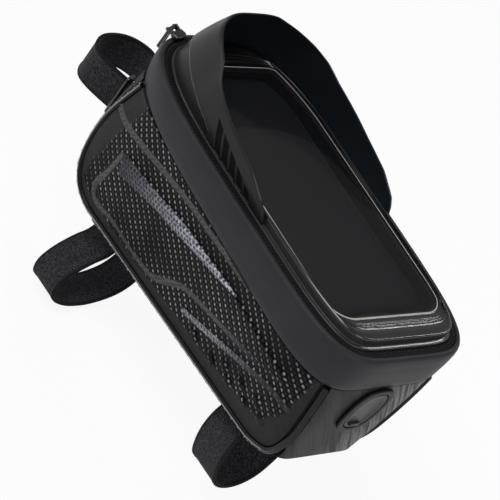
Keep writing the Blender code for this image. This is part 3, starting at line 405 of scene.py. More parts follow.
def makeSideFinish():
    finish = Finish("mouldedSide", finishes["side"], 0.36, specular=0.05)
    px, py, pz = finish.place()
    along = px * finishes["dashAlong"][0] + pz * finishes["dashAlong"][1]
    across = px * finishes["dashAcross"][0] + pz * finishes["dashAcross"][1]
    column = across / finishes["columnPitch"] * 2
    offset = column.maths("FLOOR").maths("FLOORED_MODULO", 2.0) * 0.5
    fromColumn = (column.maths("FRACT") - 0.5) * (finishes["columnPitch"] / 2)
    fromDash = ((along / finishes["dashPitch"] + offset).maths("FRACT") - 0.5) * finishes["dashPitch"]
    wide = fromColumn / finishes["dashWidth"]
    long = fromDash / finishes["dashLength"]
    dash = 1 - (wide * wide + long * long).maths("SQRT").soft(0.45, 1.0)
    weave = finish.attribute("weave")
    ribbon = finish.attribute("ribbon")
    facet = finish.attribute("facet")
    ribbonLine = finish.attribute("ribbonLine")
    patchy = finish.noise(0.05, 3.0).soft(0.30, 0.66)
    uneven = finish.noise(0.9, 2.0).soft(0.35, 0.65) * 0.45 + 0.55
    everySecond = 1 - offset * (2 - 2 * finishes["dimColumn"])
    # The light grey dashes are the weave's raised dots: partly their own tone, partly painted glints, made
    # patchy and uneven
    dashPatternAndGlint = dash * weave * everySecond * (patchy * 0.75 + 0.25) * uneven
    soften = finish.noise(0.35, 5.0)
    smoothColour = finish.between(soften.soft(0.3, 0.7), finishes["smoothDark"], finishes["smooth"])
    colour = finish.between(weave, smoothColour, finishes["side"])
    colour = finish.between(dashPatternAndGlint, colour, finishes["dash"])
    besideMiddle = ribbonLine.soft(0.25, 0.5) * (1 - ribbonLine.soft(0.75, 1.0))
    thread = wave(along, 0.42).soft(0.35, 0.75) * besideMiddle
    colour = finish.between(ribbon * (1 - thread * 0.85), colour, finishes["ribbon"])
    # Painted reflection on the facet and the speckled strip: light flecks with dark dots, brightest at
    # mid-length and fading towards front and rear
    speckle = finish.noise(0.62, 5.0, 0.75).soft(0.43, 0.58)
    paintedReflectionFade = (30.0 - px).soft(-45.0, 45.0) * (px + 75.0).soft(0.0, 50.0) * 0.85 + 0.10
    paintedReflection = (speckle * 0.6 + 0.4) * (1 - dash * 0.85) * paintedReflectionFade
    paintedReflectionColour = finish.between(paintedReflection, finishes["facetPaintedReflectionDark"], finishes["facetPaintedReflection"])
    colour = finish.between(facet.soft(0.2, 0.6), colour, paintedReflectionColour)
    finish.feed("Base Color", colour)
    finish.feed("Roughness", 0.48 - dash * weave * 0.20)
    finish.bump(dash * weave + finish.noise(1.6, 4.0) * 0.12, 0.5)
    return finish


def makeWallFinish():
    finish = Finish("endWall", finishes["wall"], 0.55, specular=0.18)
    px, py, pz = finish.place()
    slant = (py - pz * finishes["wallSlant"]) * finishes["wallStripes"]
    slanted = finish.node("ShaderNodeCombineXYZ", {}, {0: slant, 1: pz * 0.02, 2: px * 0.02}).outputs[0]
    bars = finish.noise(1.0, 3.0, 0.6, vector=slanted).soft(0.40, 0.60)
    speckle = finish.noise(1.3, 4.0).soft(0.35, 0.65)
    # Light stripes on the rear part only, stronger towards the rider's right (lower Y) as painted light
    # falling on that side
    rear = (0 - px).soft(70.0, 92.0)
    side = (8.0 - py).soft(0.0, 40.0)
    stripesAndPaintedLight = bars * (speckle * 0.6 + 0.4) * rear * (side * 0.92 + 0.08)
    finish.feed("Base Color", finish.between(stripesAndPaintedLight, finishes["wall"], finishes["wallStripe"]))
    finish.bump(bars * 0.6 + finish.noise(2.2, 4.0) * 0.5, 0.16, 0.7)
    return finish


def plainFinish(name, colour, roughness, grain, distance, strength=1.0, **more):
    # One colour with a fine grain, whose scale and detail are given
    finish = Finish(name, finishes[colour], roughness, **more)
    finish.bump(finish.noise(*grain), distance, strength)
    return finish


def makeBandFinish():
    finish = Finish("rimBand", finishes["bandLight"], 0.50, specular=0.18)
    shade = finish.between(finish.noise(0.05, 3.0), finishes["bandDark"], finishes["bandLight"])
    finish.feed("Base Color", shade)
    finish.bump(finish.noise(1.1, 5.0), 0.05, 0.5)
    return finish


def makePipingFinish():
    finish = Finish("piping", finishes["piping"], 0.40, specular=0.2)
    # The beads are painted light grey as a painted highlight
    bead = finish.attribute("bead")
    finish.feed("Base Color", finish.between(bead, finishes["piping"], finishes["bead"]))
    finish.bump(wave(finish.attribute("length"), 0.9) * bead, 0.08, 0.6)
    return finish


def makeTapeFinish():
    finish = Finish("zipTape", finishes["tape"], 0.65, specular=0.2)
    px, py, _ = finish.place()
    finish.bump(wave(px + py, 0.9) * wave(px - py, 0.9), 0.12, 0.6)
    return finish


def makeVisorFinish():
    finish = Finish("visorPlastic", finishes["visor"], 0.38, specular=0.17)
    skirtPaintedHighlight = finish.attribute("skirtPaintedHighlight")
    slot = finish.attribute("slot")
    shade = finish.between(finish.attribute("inside"), finishes["visor"], finishes["visorInside"])
    # A lighter colour along the skirt's step is a painted highlight
    shade = finish.between(skirtPaintedHighlight, shade, finishes["skirtPaintedHighlight"])
    # The shallow slots are painted near black as painted shade
    finish.feed("Base Color", finish.between(slot.soft(0.25, 0.5), shade, finishes["slot"]))
    finish.feed("Roughness", 0.38 - skirtPaintedHighlight * 0.20 + slot * 0.5)
    finish.bump(finish.noise(2.4, 3.0), 0.03, 0.5)
    return finish


def makeLiningFinish():
    finish = Finish("lining", finishes["liningDark"], 0.85, sheen=0.04, specular=0.12)
    px, py, _ = finish.place()
    knit = wave(px + py * 0.5, 0.42) * wave(py - px * 0.5, 0.42)
    shade = finish.between(knit * finish.noise(0.5, 3.0), finishes["liningDark"], finishes["liningLight"])
    finish.feed("Base Color", shade)
    finish.bump(knit, 0.10, 0.3)
    return finish


def makeStrapFinish():
    finish = Finish("hookAndLoop", finishes["strap"], 0.85, sheen=0.05, specular=0.12)
    edge = finish.attribute("edge")
    pile = finish.noise(0.75, 6.0, 0.78)
    fleck = finish.noise(1.5, 3.0, 0.7).soft(0.50, 0.66)
    shade = (pile.soft(0.36, 0.70) * 0.55 + fleck * 0.45) * (1 - edge)
    finish.feed("Base Color", finish.between(shade, finishes["strap"], finishes["strapPile"]))
    finish.bump((pile + fleck * 0.4) * (1 - edge * 0.8), 0.5, 0.9)
    return finish


def makeWebFinish():
    finish = Finish("webbing", finishes["webbing"], 0.75, specular=0.25)
    px, py, pz = finish.place()
    finish.bump(wave(px, 0.8) + wave(py + pz, 0.8), 0.2, 0.7)
    return finish


def makeFilmFinish():
    finish = Finish("clearFilm", finishes["film"], 0.05, specular=0.6)
    finish.shader.inputs["Alpha"].default_value = finishes["filmAlpha"]
    edge = finish.attribute("edge")
    # The film's top edge is painted as a light, more opaque line: a painted highlight round the window
    finish.feed("Base Color", finish.between(edge, finishes["film"], finishes["filmEdgeHighlight"]))
    finish.feed("Alpha", edge * 0.72 + finishes["filmAlpha"])
    return finish


sideFinish = makeSideFinish()
wallFinish = makeWallFinish()
bandFinish = makeBandFinish()
pipingFinish = makePipingFinish()
threadFinish = plainFinish("thread", "thread", 0.45, (3.0, 2.0), 0.08)
tapeFinish = makeTapeFinish()
coilFinish = plainFinish("zipCoil", "tape", 0.40, (2.0, 2.0), 0.03, specular=0.2)
glossFinish = Finish("glossPlastic", finishes["gloss"], 0.16, coat=0.35)
glossShade = glossFinish.noise(0.08, 3.0) * 0.06 + 0.13
glossFinish.feed("Roughness", glossShade + glossFinish.attribute("ledge") * 0.45)
visorFinish = makeVisorFinish()
rubberFinish = plainFinish("rubber", "rubber", 0.50, (1.8, 4.0), 0.05, 0.5, specular=0.25)
flapFinish = plainFinish("flapRubber", "flap", 0.45, (1.8, 4.0), 0.05, 0.5, specular=0.3)
liningFinish = makeLiningFinish()
strapFinish = makeStrapFinish()
webFinish = makeWebFinish()
metalFinish = Finish("coatedMetal", finishes["metal"], 0.30, metallic=0.8)
metalFinish.feed("Roughness", metalFinish.noise(0.5, 4.0) * 0.2 + 0.22)
filmFinish = makeFilmFinish()
print("materials made")


# What follows a line: a tree that sets one small shape at even steps along it


def followTree():
    tree = bpy.data.node_groups.new("setAlongLine", "GeometryNodeTree")
    tree.interface.new_socket("Geometry", in_out="INPUT", socket_type="NodeSocketGeometry")
    for label in ("Spacing", "Length", "Width", "Height"):
        tree.interface.new_socket(label, in_out="INPUT", socket_type="NodeSocketFloat")
    tree.interface.new_socket("Finish", in_out="INPUT", socket_type="NodeSocketMaterial")
    tree.interface.new_socket("Geometry", in_out="OUTPUT", socket_type="NodeSocketGeometry")

    def add(kind, inputs, **settings):
        return addNode(tree, "GeometryNode" + kind, settings, inputs)

    given = addNode(tree, "NodeGroupInput", {}, {}).outputs
    lie = add("InputNamedAttribute", {"Name": "lie"}, data_type="FLOAT_VECTOR")
    out = add("InputNamedAttribute", {"Name": "out"}, data_type="FLOAT_VECTOR")
    curve = add("MeshToCurve", {"Mesh": given["Geometry"]})
    places = add("ResampleCurve", {"Curve": curve.outputs[0], "Length": given["Spacing"]}, mode="LENGTH")
    turned = addNode(tree, "FunctionNodeAlignRotationToVector", {"axis": "X"}, {"Vector": lie.outputs[0]})
    turned = addNode(tree, "FunctionNodeAlignRotationToVector", {"axis": "Z", "pivot_axis": "X"},
                     {"Rotation": turned.outputs[0], "Vector": out.outputs[0]})
    shape = add("MeshUVSphere", {"Segments": 6, "Rings": 5, "Radius": 0.5})
    size = addNode(tree, "ShaderNodeCombineXYZ", {},
                   {0: given["Length"], 1: given["Width"], 2: given["Height"]})
    copies = add("InstanceOnPoints", {"Points": places.outputs[0], "Instance": shape.outputs["Mesh"],
                                      "Rotation": turned.outputs[0], "Scale": size.outputs[0]})
    real = add("RealizeInstances", {"Geometry": copies.outputs[0]})
    smooth = add("SetShadeSmooth", {"Geometry": real.outputs[0]})
    dressed = add("SetMaterial", {"Geometry": smooth.outputs[0], "Material": given["Finish"]})
    addNode(tree, "NodeGroupOutput", {}, {0: dressed.outputs[0]})
    return tree


lineTree = followTree()


def setAlong(name, points, lie, out, sizes, finish, body):
    # sizes are the spacing, length, width and height of the small shape
    mesh = bpy.data.meshes.new(name)
    mesh.from_pydata((np.asarray(points) * mm).tolist(), [(i, i + 1) for i in range(len(points) - 1)], [])
    for key, vectors in (("lie", lie), ("out", out)):
        layer = mesh.attributes.new(key, "FLOAT_VECTOR", "POINT")
        layer.data.foreach_set("vector", np.asarray(vectors, np.float32).ravel())
    item = addObject(name, mesh)
    modifier = item.modifiers.new("along", "NODES")
    modifier.node_group = lineTree
    sockets = [entry for entry in lineTree.interface.items_tree if entry.in_out == "INPUT"]
    inputs = {entry.name: entry.identifier for entry in sockets}
    for label, value in zip(("Spacing", "Length", "Width", "Height"), sizes):
        modifier[inputs[label]] = value * mm
    modifier[inputs["Finish"]] = finish.material
    bake(item)
    for key in ("lie", "out"):
        if key in item.data.attributes:
            item.data.attributes.remove(item.data.attributes[key])
    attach(item, body)
    return item


def setAttribute(item, key, values):
    layer = item.data.attributes.new(key, "FLOAT", "POINT")
    layer.data.foreach_set("value", np.asarray(values, np.float32).ravel())


def finishPiece(item, body, slot, *nodes):
    if nodes:
        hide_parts(*nodes)
    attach(item, body)
    return item


def refined(name, node, finish, body, slot, bevel):
    # A copy of a small CAD node, merged and given rounded edges
    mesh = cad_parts[node].data.copy()
    bm = bmesh.new()
    bm.from_mesh(mesh)
    bmesh.ops.remove_doubles(bm, verts=bm.verts, dist=1e-6)
    bmesh.ops.dissolve_limit(bm, angle_limit=math.radians(2), verts=bm.verts, edges=bm.edges)
    bm.to_mesh(mesh)
    bm.free()
    item = addObject(name, mesh)
    rounding = item.modifiers.new("rounding", "BEVEL")
    rounding.width = bevel * mm
    rounding.segments = 2
    rounding.limit_method = "ANGLE"
    rounding.angle_limit = math.radians(38)
    bake(item)
    tidyFaces(item, 35)
    item.data.materials.clear()
    item.data.materials.append(finish.material)
    return finishPiece(item, body, slot, node)


# Embossed side panels

panel = {
    "plateau": [(71.7, 47.2), (81.1, 11.8), (75.4, 6.0), (58.2, 7.6), (40.0, 8.5), (20.5, 11.9), (2.5, 26.8),
                (-8.5, 33.2), (-38.6, 42.0), (-83.7, 56.0), (-83.8, 63.1), (-34.5, 65.7), (14.4, 60.5),
                (46.9, 53.1)],
    "plateauHeight": 1.3, "plateauSlope": 2.2,
    "facet": [(70.1, 47.6), (68.4, 35.4), (46.3, 43.1), (11.3, 51.8), (-35.8, 64.1), (-35.8, 65.0),
              (14.0, 59.4), (46.3, 52.1)],
    "facetHeight": 0.9, "facetSlope": 1.2,
    "ribbons": [
        [(91.6, 59.5), (80.9, 59.2), (61.3, 62.9), (37.8, 67.8), (15.0, 71.6), (-3.9, 73.1), (-20.3, 74.7),
         (-40.0, 76.4)],
        [(71.8, 44.4), (76.7, 27.0), (82.1, 11.8), (77.0, 4.3), (59.7, 8.4), (44.2, 8.5), (20.5, 11.7),
         (2.5, 26.8), (-8.5, 33.2), (-38.6, 42.0), (-65.3, 49.5)],
    ],
    "ribbonWidth": 4.6, "ribbonHeight": 0.9, "ribbonEnd": (-70, -30),
    "speckled": [(-9.0, 19.6), (-26.4, 26.4), (-46.6, 34.8), (-76.2, 46.5), (-90.2, 47.5)],
    "speckledWidth": 5.0, "speckledHeight": 0.5,
    "domes": [(-21.7, 16.2), (-37.2, 17.3), (-46.7, 24.4), (-52.6, 18.9), (-60.7, 27.8), (-67.0, 20.9),
              (-74.0, 31.4), (-80.7, 24.3)],
    "domeRadius": 3.5, "domeHeight": 1.3,
    "patterned": [(80.5, 54.3), (84.2, 43.0), (87.0, 32.3), (91.6, 19.8), (92.6, 7.5), (86.6, 3.9),
                  (62.4, 3.3), (27.0, 7.2), (-8.5, 11.9), (-38.8, 15.2), (-79.3, 24.3), (-89.1, 39.7),
                  (-91.3, 48.9), (-92.1, 55.0), (-93.1, 62.1), (-93.7, 67.2), (-93.5, 90.0), (70.0, 90.0),
                  (75.0, 66.0)],
    "columns": 300, "rows": 110,
}


def segmentDistance(points, a, b):
    d = b - a
    t = np.clip(((points - a) @ d) / (d @ d), 0, 1)
    return np.linalg.norm(points - a - t[:, None] * d, axis=1)


def polygonDepth(points, polygon):
    # How deep each point lies inside the polygon: positive inside, negative outside
    poly = np.array(polygon, float)
    inside = np.zeros(len(points), bool)
    nearest = np.full(len(points), 1e9)
    for a, b in zip(poly, np.roll(poly, -1, axis=0)):
        nearest = np.minimum(nearest, segmentDistance(points, a, b))
        crosses = (a[1] > points[:, 1]) != (b[1] > points[:, 1])
        slope = (b[0] - a[0]) / (b[1] - a[1]) if b[1] != a[1] else 0.0
        inside ^= crosses & (points[:, 0] < a[0] + (points[:, 1] - a[1]) * slope)
    return np.where(inside, nearest, -nearest)


def lineDistance(points, line):
    pts = catmull(line, 4)
    return np.min([segmentDistance(points, a, b) for a, b in zip(pts, pts[1:])], axis=0)


def panelRelief(x, z):
    points = np.stack([x.ravel(), z.ravel()], axis=1)
    plateau = polygonDepth(points, panel["plateau"])
    height = panel["plateauHeight"] * smoothStep(0, panel["plateauSlope"], plateau)
    facet = polygonDepth(points, panel["facet"])
    height = height + panel["facetHeight"] * smoothStep(-0.4, panel["facetSlope"], facet)
    fade = smoothStep(*panel["ribbonEnd"], points[:, 0])
    half = panel["ribbonWidth"] / 2
    ribbonMask = np.zeros(len(points))
    nearest = np.full(len(points), 9.0)
    for line in panel["ribbons"]:
        away = lineDistance(points, line)
        nearest = np.minimum(nearest, away)
        height = height + fade * panel["ribbonHeight"] * (1 - smoothStep(0.3, half, away))
        ribbonMask = np.maximum(ribbonMask, fade * (1 - smoothStep(half * 0.55, half, away)))
    away = lineDistance(points, panel["speckled"]) / panel["speckledWidth"]
    speckled = 1 - smoothStep(0.32, 0.5, away)
    height = height + panel["speckledHeight"] * speckled
    for centre in panel["domes"]:
        away = np.linalg.norm(points - np.array(centre), axis=1) / panel["domeRadius"]
        height = height + panel["domeHeight"] * np.sqrt(np.clip(1 - away ** 2, 0, 1))
    patterned = smoothStep(-1.2, 1.2, polygonDepth(points, panel["patterned"]))
    # The facet mask marks where the painted reflection goes, and the speckled strip at less than half
    # strength
    masks = {
        "weave": patterned * (1 - ribbonMask), "ribbon": ribbonMask, "ribbonLine": np.clip(nearest, 0, 9),
        "facet": np.maximum(smoothStep(-0.2, 0.3, facet), 0.45 * speckled),
    }
    return height.reshape(x.shape), masks


def panelGrid(columns, rows):
    points, normals = seamLine(600)
    inner = points - normals * (seam["piping"] + 0.4)
    front = int(np.argmax(inner[:, 0]))
    rear = int(np.argmin(inner[:, 0]))
    lowX, lowZ = inner[front:rear + 1, 0][::-1], inner[front:rear + 1, 1][::-1]
    share = np.linspace(0, 1, columns)
    share = 0.75 * share + 0.25 * (1 - np.cos(share * math.pi)) / 2  # closer columns at both ends
    x = inner[rear, 0] + (inner[front, 0] - inner[rear, 0]) * share
    low = np.interp(x, lowX, lowZ)
    high = bandLow(x) - body["gap"]
    frontX, frontZ = inner[:front + 1, 0], inner[:front + 1, 1]
    high = np.where(x > frontX[0], np.minimum(high, np.interp(x, frontX, frontZ)), high)
    rearX, rearZ = inner[rear:, 0], inner[rear:, 1]
    high = np.where(x < rearX[-1], np.minimum(high, np.interp(x, rearX, rearZ)), high)
    zs = low[:, None] + (high - low)[:, None] * np.linspace(0, 1, rows)
    return np.repeat(x[:, None], rows, axis=1), zs


def sidePanel(name, side, node):
    x, z = panelGrid(panel["columns"], panel["rows"])
    height, masks = panelRelief(x, z)
    slope = halfWidth(x + 0.5, z) - halfWidth(x - 0.5, z)
    length = np.hypot(slope, 1.0)
    y = halfWidth(x, z)

    def lifted(amount):
        return np.stack([x - slope / length * amount, side * (y + amount / length), z], axis=2)

    item = slab(name, lifted(height), lifted(-body["skin"]), sideFinish.material, angle=60)
    for key, values in masks.items():
        setAttribute(item, key, np.r_[values, np.zeros(values.size)])
    return finishPiece(item, "bag", "moulded_side", node)


hands = (("Left", 1), ("Right", -1))
for hand, side in hands:
    sidePanel("sidePanel" + hand, side, "shell_" + hand.lower())
print("side panels made")


# End wall: front, base and rear in one strip, with the port's hole

port = {
    "halfWidth": 9.5, "halfHeight": 13.5, "power": 2.6, "sleeve": 1.4, "flange": 3.0, "flangeThick": 1.9,
    "flapThick": 1.4, "flapGap": 0.4, "sunk": 0.2, "lip": (3.5, 1.2), "lipUp": 3.4,
}


def wallBulge(y, x, z, normalX):
    fade = np.minimum(np.abs(normalX) * 1.2, 1.0) ** 3
    return (endWallX(y, x, z) - x) * fade


def endWall():
    rows, columns = 260, 72
    points, normals = seamLine(rows)
    x, z, nx = points[:, 0], points[:, 1], normals[:, 0]
    margin = seam["piping"] + 2.4 * body["gap"]
    edge = halfWidth(x, z)
    half = edge - margin
    for _ in range(12):
        half = edge - np.sqrt(np.maximum(margin ** 2 - wallBulge(half, x, z, nx) ** 2, 0.0))
    y = half[:, None] * np.sin(math.pi / 2 * np.linspace(-1, 1, columns))
    share, _, _, _ = levelShape(x, z)
    out = wallBulge(y, x[:, None], z[:, None], nx[:, None])
    lifted = z[:, None] + body["bandSlope"] * out * share[:, None]
    outer = np.stack([x[:, None] + out, y, lifted], axis=2)
    normal = np.cross(np.gradient(outer, axis=0), np.gradient(outer, axis=1))
    normal /= np.linalg.norm(normal, axis=2)[:, :, None]
    facing = np.stack([x, np.zeros(rows), z - 50], axis=1)[:, None, :]
    normal *= np.sign((normal * facing).sum(axis=2))[:, :, None]
    return slab("endWall", outer, outer - normal * body["skin"], wallFinish.material)


def portFrame():
    height = bandLow(body["rimRear"]) - 0.3 - port["flange"] - port["halfHeight"]
    step = port["halfHeight"] / 2
    rear = [float(endWallX(0.0, body["rimRear"], height + lift)) for lift in (-step, 0.0, step)]
    up = np.array([rear[2] - rear[0], 0.0, 2 * step])
    up /= np.linalg.norm(up)
    across = np.array([0.0, -1.0, 0.0])
    return np.array([rear[1], 0.0, height]), across, up, np.cross(across, up)


def inPort(points):
    centre, across, up, out = portFrame()
    pts = np.asarray(points, float)
    return centre + pts[..., :1] * across + pts[..., 1:2] * up + pts[..., 2:] * out


def portRings(grow, heights, count=96):
    # Rings of the port's outline: each is grown and lifted
    rings = []
    for more, height in zip(grow, heights):
        line = superellipse(port["halfWidth"] + more, port["halfHeight"] + more, port["power"], count)
        rings.append(np.column_stack([line, np.full(count, height)]))
    return inPort(np.array(rings))


def makeEndWall():
    wall = endWall()
    grow = port["sleeve"] + body["gap"]
    tool = tube("portTool", portRings((grow, grow), (-12.0, 12.0)), wallFinish.material, closed=False)
    cut(wall, tool)
    tidyFaces(wall)
    finishPiece(wall, "bag", "end_wall", "gusset")


def makeGrommet(flangeTop):
    inside = -body["skin"] - 1.6
    sleeve, flange = port["sleeve"], port["flange"]
    collar = roundSection([(0, inside), (0, flangeTop), (flange, flangeTop), (flange, 0.3), (sleeve, 0.3),
                           (sleeve, inside)], 0.7, 4)
    rings = np.swapaxes(portRings(collar[:, 0], collar[:, 1]), 0, 1)
    item = tube("portGrommet", rings, rubberFinish.material, closed=True, angle=50)
    finishPiece(item, "bag", "rubber", "port_grommet")


def makePortFlap(flangeTop):
    # A plate with a dished face and a small lip at its lower edge
    thick, top = port["flapThick"], flangeTop - port["sunk"]
    edge = roundSection([(-9, -thick), (0, -thick), (0, 0), (-9, 0)], 0.6, 4)
    edge = edge[edge[:, 0] > -4]
    rings = portRings(edge[:, 0] - port["flapGap"], edge[:, 1] + top)
    dish = portRings([-2.0, -2.8], [top, top - 0.4])
    item = tube("portFlap", np.concatenate([rings, dish]), flapFinish.material, closed=False, angle=50)
    line = superellipse(*port["lip"], 4.0, 32)
    low = (0, port["lipUp"] - port["halfHeight"])
    rings = [np.column_stack([line * size + low, np.full(32, height + top)])
             for size, height in ((1, -0.6), (1, 0.6), (0.86, 0.9))]
    lip = tube("flapLip", inPort(np.array(rings)), flapFinish.material, closed=False)
    cut(item, lip, "UNION")
    tidyFaces(item, 50)
    finishPiece(item, "port_flap", "rubber", "port_flap")


makeEndWall()
makeGrommet(port["flangeThick"] + body["gap"])
makePortFlap(port["flangeThick"] + body["gap"])
print("end wall and port made")


# Piping over the seams, and its stitches

piping = {
    "radius": 1.62, "bead": 0.36, "beadAt": 0.72, "beadWidth": 0.20, "stitch": (5.9, 1.5, 0.55, 0.5),
    "sides": 28, "tapeFrom": 2.6, "tapeTo": 7.0, "tapeThick": 0.5, "tapeGap": 0.15, "tapeRise": 2.5,
}


def makePiping(name, side, node):
    points, normals = seamLine(420)
    points[[0, -1], 1] -= 1.0
    y = halfWidth(points[:, 0], points[:, 1])
    outward = np.column_stack([normals[:, 0], np.zeros(len(points)), normals[:, 1]])
    across = np.array([0.0, side, 0.0])
    centre = np.column_stack([points[:, 0], side * y, points[:, 1]])
    turns = np.linspace(0, 2 * math.pi, piping["sides"], endpoint=False)
    away = np.minimum(np.abs(turns - math.pi / 4), 2 * math.pi - np.abs(turns - math.pi / 4))
    beads = np.exp(-((away - piping["beadAt"]) / piping["beadWidth"]) ** 2)
    radius = piping["radius"] + piping["bead"] * (beads - 0.8 * np.exp(-(away / 0.42) ** 2))
    around = np.cos(turns)[:, None] * outward[:, None, :] + np.sin(turns)[:, None] * across
    rings = centre[:, None, :] + radius[:, None] * around
    item = tube(name, rings, pipingFinish.material, closed=False, angle=70)
    facing = smoothStep(-0.75, -0.35, normals[:, 0])  # the beads' painted highlight fades out where the seam turns to face the rear
    setAttribute(item, "bead", np.outer(facing, smoothStep(0.55, 0.9, beads)))
    length = np.r_[0.0, np.cumsum(np.linalg.norm(np.diff(centre, axis=0), axis=1))]
    setAttribute(item, "length", np.repeat(length, len(turns)))
    finishPiece(item, "bag", "piping_and_webbing", node)
    middle = (outward + across) / math.sqrt(2)
    along = np.gradient(centre, axis=0)
    sewn = normals[:, 0] > -0.5
    line = centre + middle * (piping["radius"] - 0.1)
    setAlong(name + "Stitches", line[sewn], along[sewn], middle[sewn], piping["stitch"], threadFinish,
             "bag")


def makeSeamTape(name, side):
    # The binding inside the seam closes the corner between the panel and the end wall
    points, normals = seamLine(420)
    ends = points[[0, -1]] - points[[1, -2]]
    ends = points[[0, -1]] + ends / np.linalg.norm(ends, axis=1)[:, None] * piping["tapeRise"]
    points = np.vstack([ends[:1], points, ends[1:]])
    normals = np.vstack([normals[:1], normals, normals[-1:]])
    x, z = points[:, 0], points[:, 1]
    edge = halfWidth(x, z)
    share = levelShape(x, z)[0]

    def onPanel(depth, lift):
        px, pz = x - normals[:, 0] * depth, z - normals[:, 1] * depth
        return np.column_stack([px, side * (halfWidth(px, pz) - body["skin"] - lift), pz])

    def onWall(depth, lift):
        out = wallBulge(edge - depth, x, z, normals[:, 0])
        inside = body["skin"] + lift
        return np.column_stack([x + out - normals[:, 0] * inside, side * (edge - depth),
                                z + body["bandSlope"] * out * share - normals[:, 1] * inside])

    low, high = piping["tapeGap"], piping["tapeGap"] + piping["tapeThick"]
    start, end = piping["tapeFrom"], piping["tapeTo"]
    section = [onPanel(end, low), onPanel(start, low), onWall(start, low), onWall(end, low),
               onWall(end, high), onWall(start, high), onPanel(start, high), onPanel(end, high)]
    item = tube(name, np.stack(section, axis=1), tapeFinish.material, closed=False)
    finishPiece(item, "bag", "piping_and_webbing")


for hand, side in hands:
    makePiping("piping" + hand, side, "piping_" + hand.lower())
    makeSeamTape("seamTape" + hand, side)
print("piping made")


# Rim band and zip

rim = rimLine(460)
rimOut = sideways(rim, closed=True)
zipRun = {
    "hingeHalf": 14.0, "tapeTop": 96.6, "tape": 1.45, "tapeThick": 1.0, "tapeDepth": 9.0, "gap": 0.3,
    "frameInset": 3.8, "frameBottom": 92.9, "tooth": (2.0, 1.9, 0.85, 0.8), "toothLift": 0.15,
}


def swept(name, points, normals, profile, finish, closed, angle=40):
    rings = []
    for point, normal in zip(points, normals):
        shape = profile(point) if callable(profile) else profile
        rings.append([(*(point + normal * offset), height) for offset, height in shape])
    return tube(name, rings, finish.material, closed, angle)


def bandProfile(point):
    low = bandLow(point[0])
    top = body["lipTop"]
    proud = body["bandProud"]
    corners = [(0, low), (proud, low), (proud + 1.1, low + 3.5), (proud + 1.9, low + 0.55 * (top - low)),
               (proud + 2.0, top - 4.0), (proud + 1.6, top - 1.4), (proud + 0.5, top), (0.6, top),
               (0, top - 0.6)]
    return roundSection(corners, 1.6, 4)


def openRim(keepPoint, count):
    fine = rimLine(2880)
    wanted = np.array([keepPoint(p) for p in fine])
    start = next(i for i in range(len(fine)) if wanted[i] and not wanted[i - 1])
    ordered = np.roll(fine, -start, axis=0)[:int(wanted.sum())]
    points = evenly(ordered, count)
    return points, sideways(points)


def pastHinge(point):
    return not (point[0] > body["rimWidest"] and abs(point[1]) < zipRun["hingeHalf"])


finishPiece(swept("rimBand", rim, rimOut, bandProfile, bandFinish, True, 50), "bag", "rim_band", "rim_band")

zipPoints, zipOut = openRim(pastHinge, 420)
gap = body["gap"]
top = zipRun["tapeTop"]
low = top - zipRun["tapeThick"]
deep = top - zipRun["tapeDepth"]
foot = zipRun["frameBottom"]
bodyIn = -gap - zipRun["tape"]
lidIn = -zipRun["frameInset"] + gap
lidOut = bodyIn - zipRun["gap"]
bodyTape = [(-gap, top), (bodyIn, top), (bodyIn, low), (-gap - 0.9, low - 0.5), (-gap - 0.9, deep),
            (-gap, deep)]
lidTape = [(lidOut, top), (lidOut, low), (lidIn + 0.8, low - 0.5), (lidIn + 0.8, foot), (lidIn, foot),
           (lidIn, top)]
for which, bodyName, shape in (("Body", "bag", bodyTape), ("Lid", "lid", lidTape)):
    tape = swept("zipTape" + which, zipPoints, zipOut, roundSection(shape, 0.3, 2), tapeFinish, False)
    finishPiece(tape, bodyName, "zip_tape", "zip_tape_" + which.lower())


def coil(name, offset, skip, bodyName):
    line = zipPoints[skip:] + zipOut[skip:] * offset
    height = np.full((len(line), 1), top + zipRun["toothLift"])
    lie = np.column_stack([zipOut[skip:], np.zeros(len(line))])
    up = np.tile([0.0, 0.0, 1.0], (len(line), 1))
    setAlong(name, np.hstack([line, height]), lie, up, zipRun["tooth"], coilFinish, bodyName)


coil("zipCoilBody", bodyIn + 0.25, 0, "bag")
coil("zipCoilLid", lidOut - 0.25, 1, "lid")

hingePoints, hingeOut = openRim(lambda p: p[0] > 0 and abs(p[1]) < zipRun["hingeHalf"] - 0.5, 40)
strip = [(-0.35, 90.4), (-0.35, 96.9), (-0.9, 97.5), (-1.9, 97.75), (-2.9, 97.5), (-3.45, 96.9),
         (-3.45, 93.0), (-2.75, 93.0), (-2.75, 96.4), (-1.9, 96.95), (-1.1, 96.4), (-1.1, 90.4)]
hinge = swept("hingeStrip", hingePoints, hingeOut, roundSection(strip, 0.35, 2), tapeFinish, False)
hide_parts("hinge_leaf_body", "hinge_leaf_lid")
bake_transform(hinge)
print("band and zip made")


# Lid: frame, film and gasket

lid = {
    "ledgeTop": 97.6, "crestInset": 6.0, "frontExtra": 1.6, "turnX": 70.0, "crestTop": 102.3, "stepDrop": 1.0,
    "window": (163.0, 79.6, 14.0), "leastWidth": 1.8, "filmBottom": 100.4, "filmThick": 0.6,
    "ridges": (0.50, 0.63, 0.76), "ridgeWidth": 0.10, "ridgeHeight": 0.5, "channel": 0.86,
}


def inwards(points, inset, height, extra=0.0):
    forward = np.clip((points[:, 0] - lid["turnX"]) / (body["rimFront"] - lid["turnX"]), 0, 1)
    moved = points - rimOut * (inset + extra * forward)[:, None]
    return np.column_stack([moved, np.full(len(points), height)])


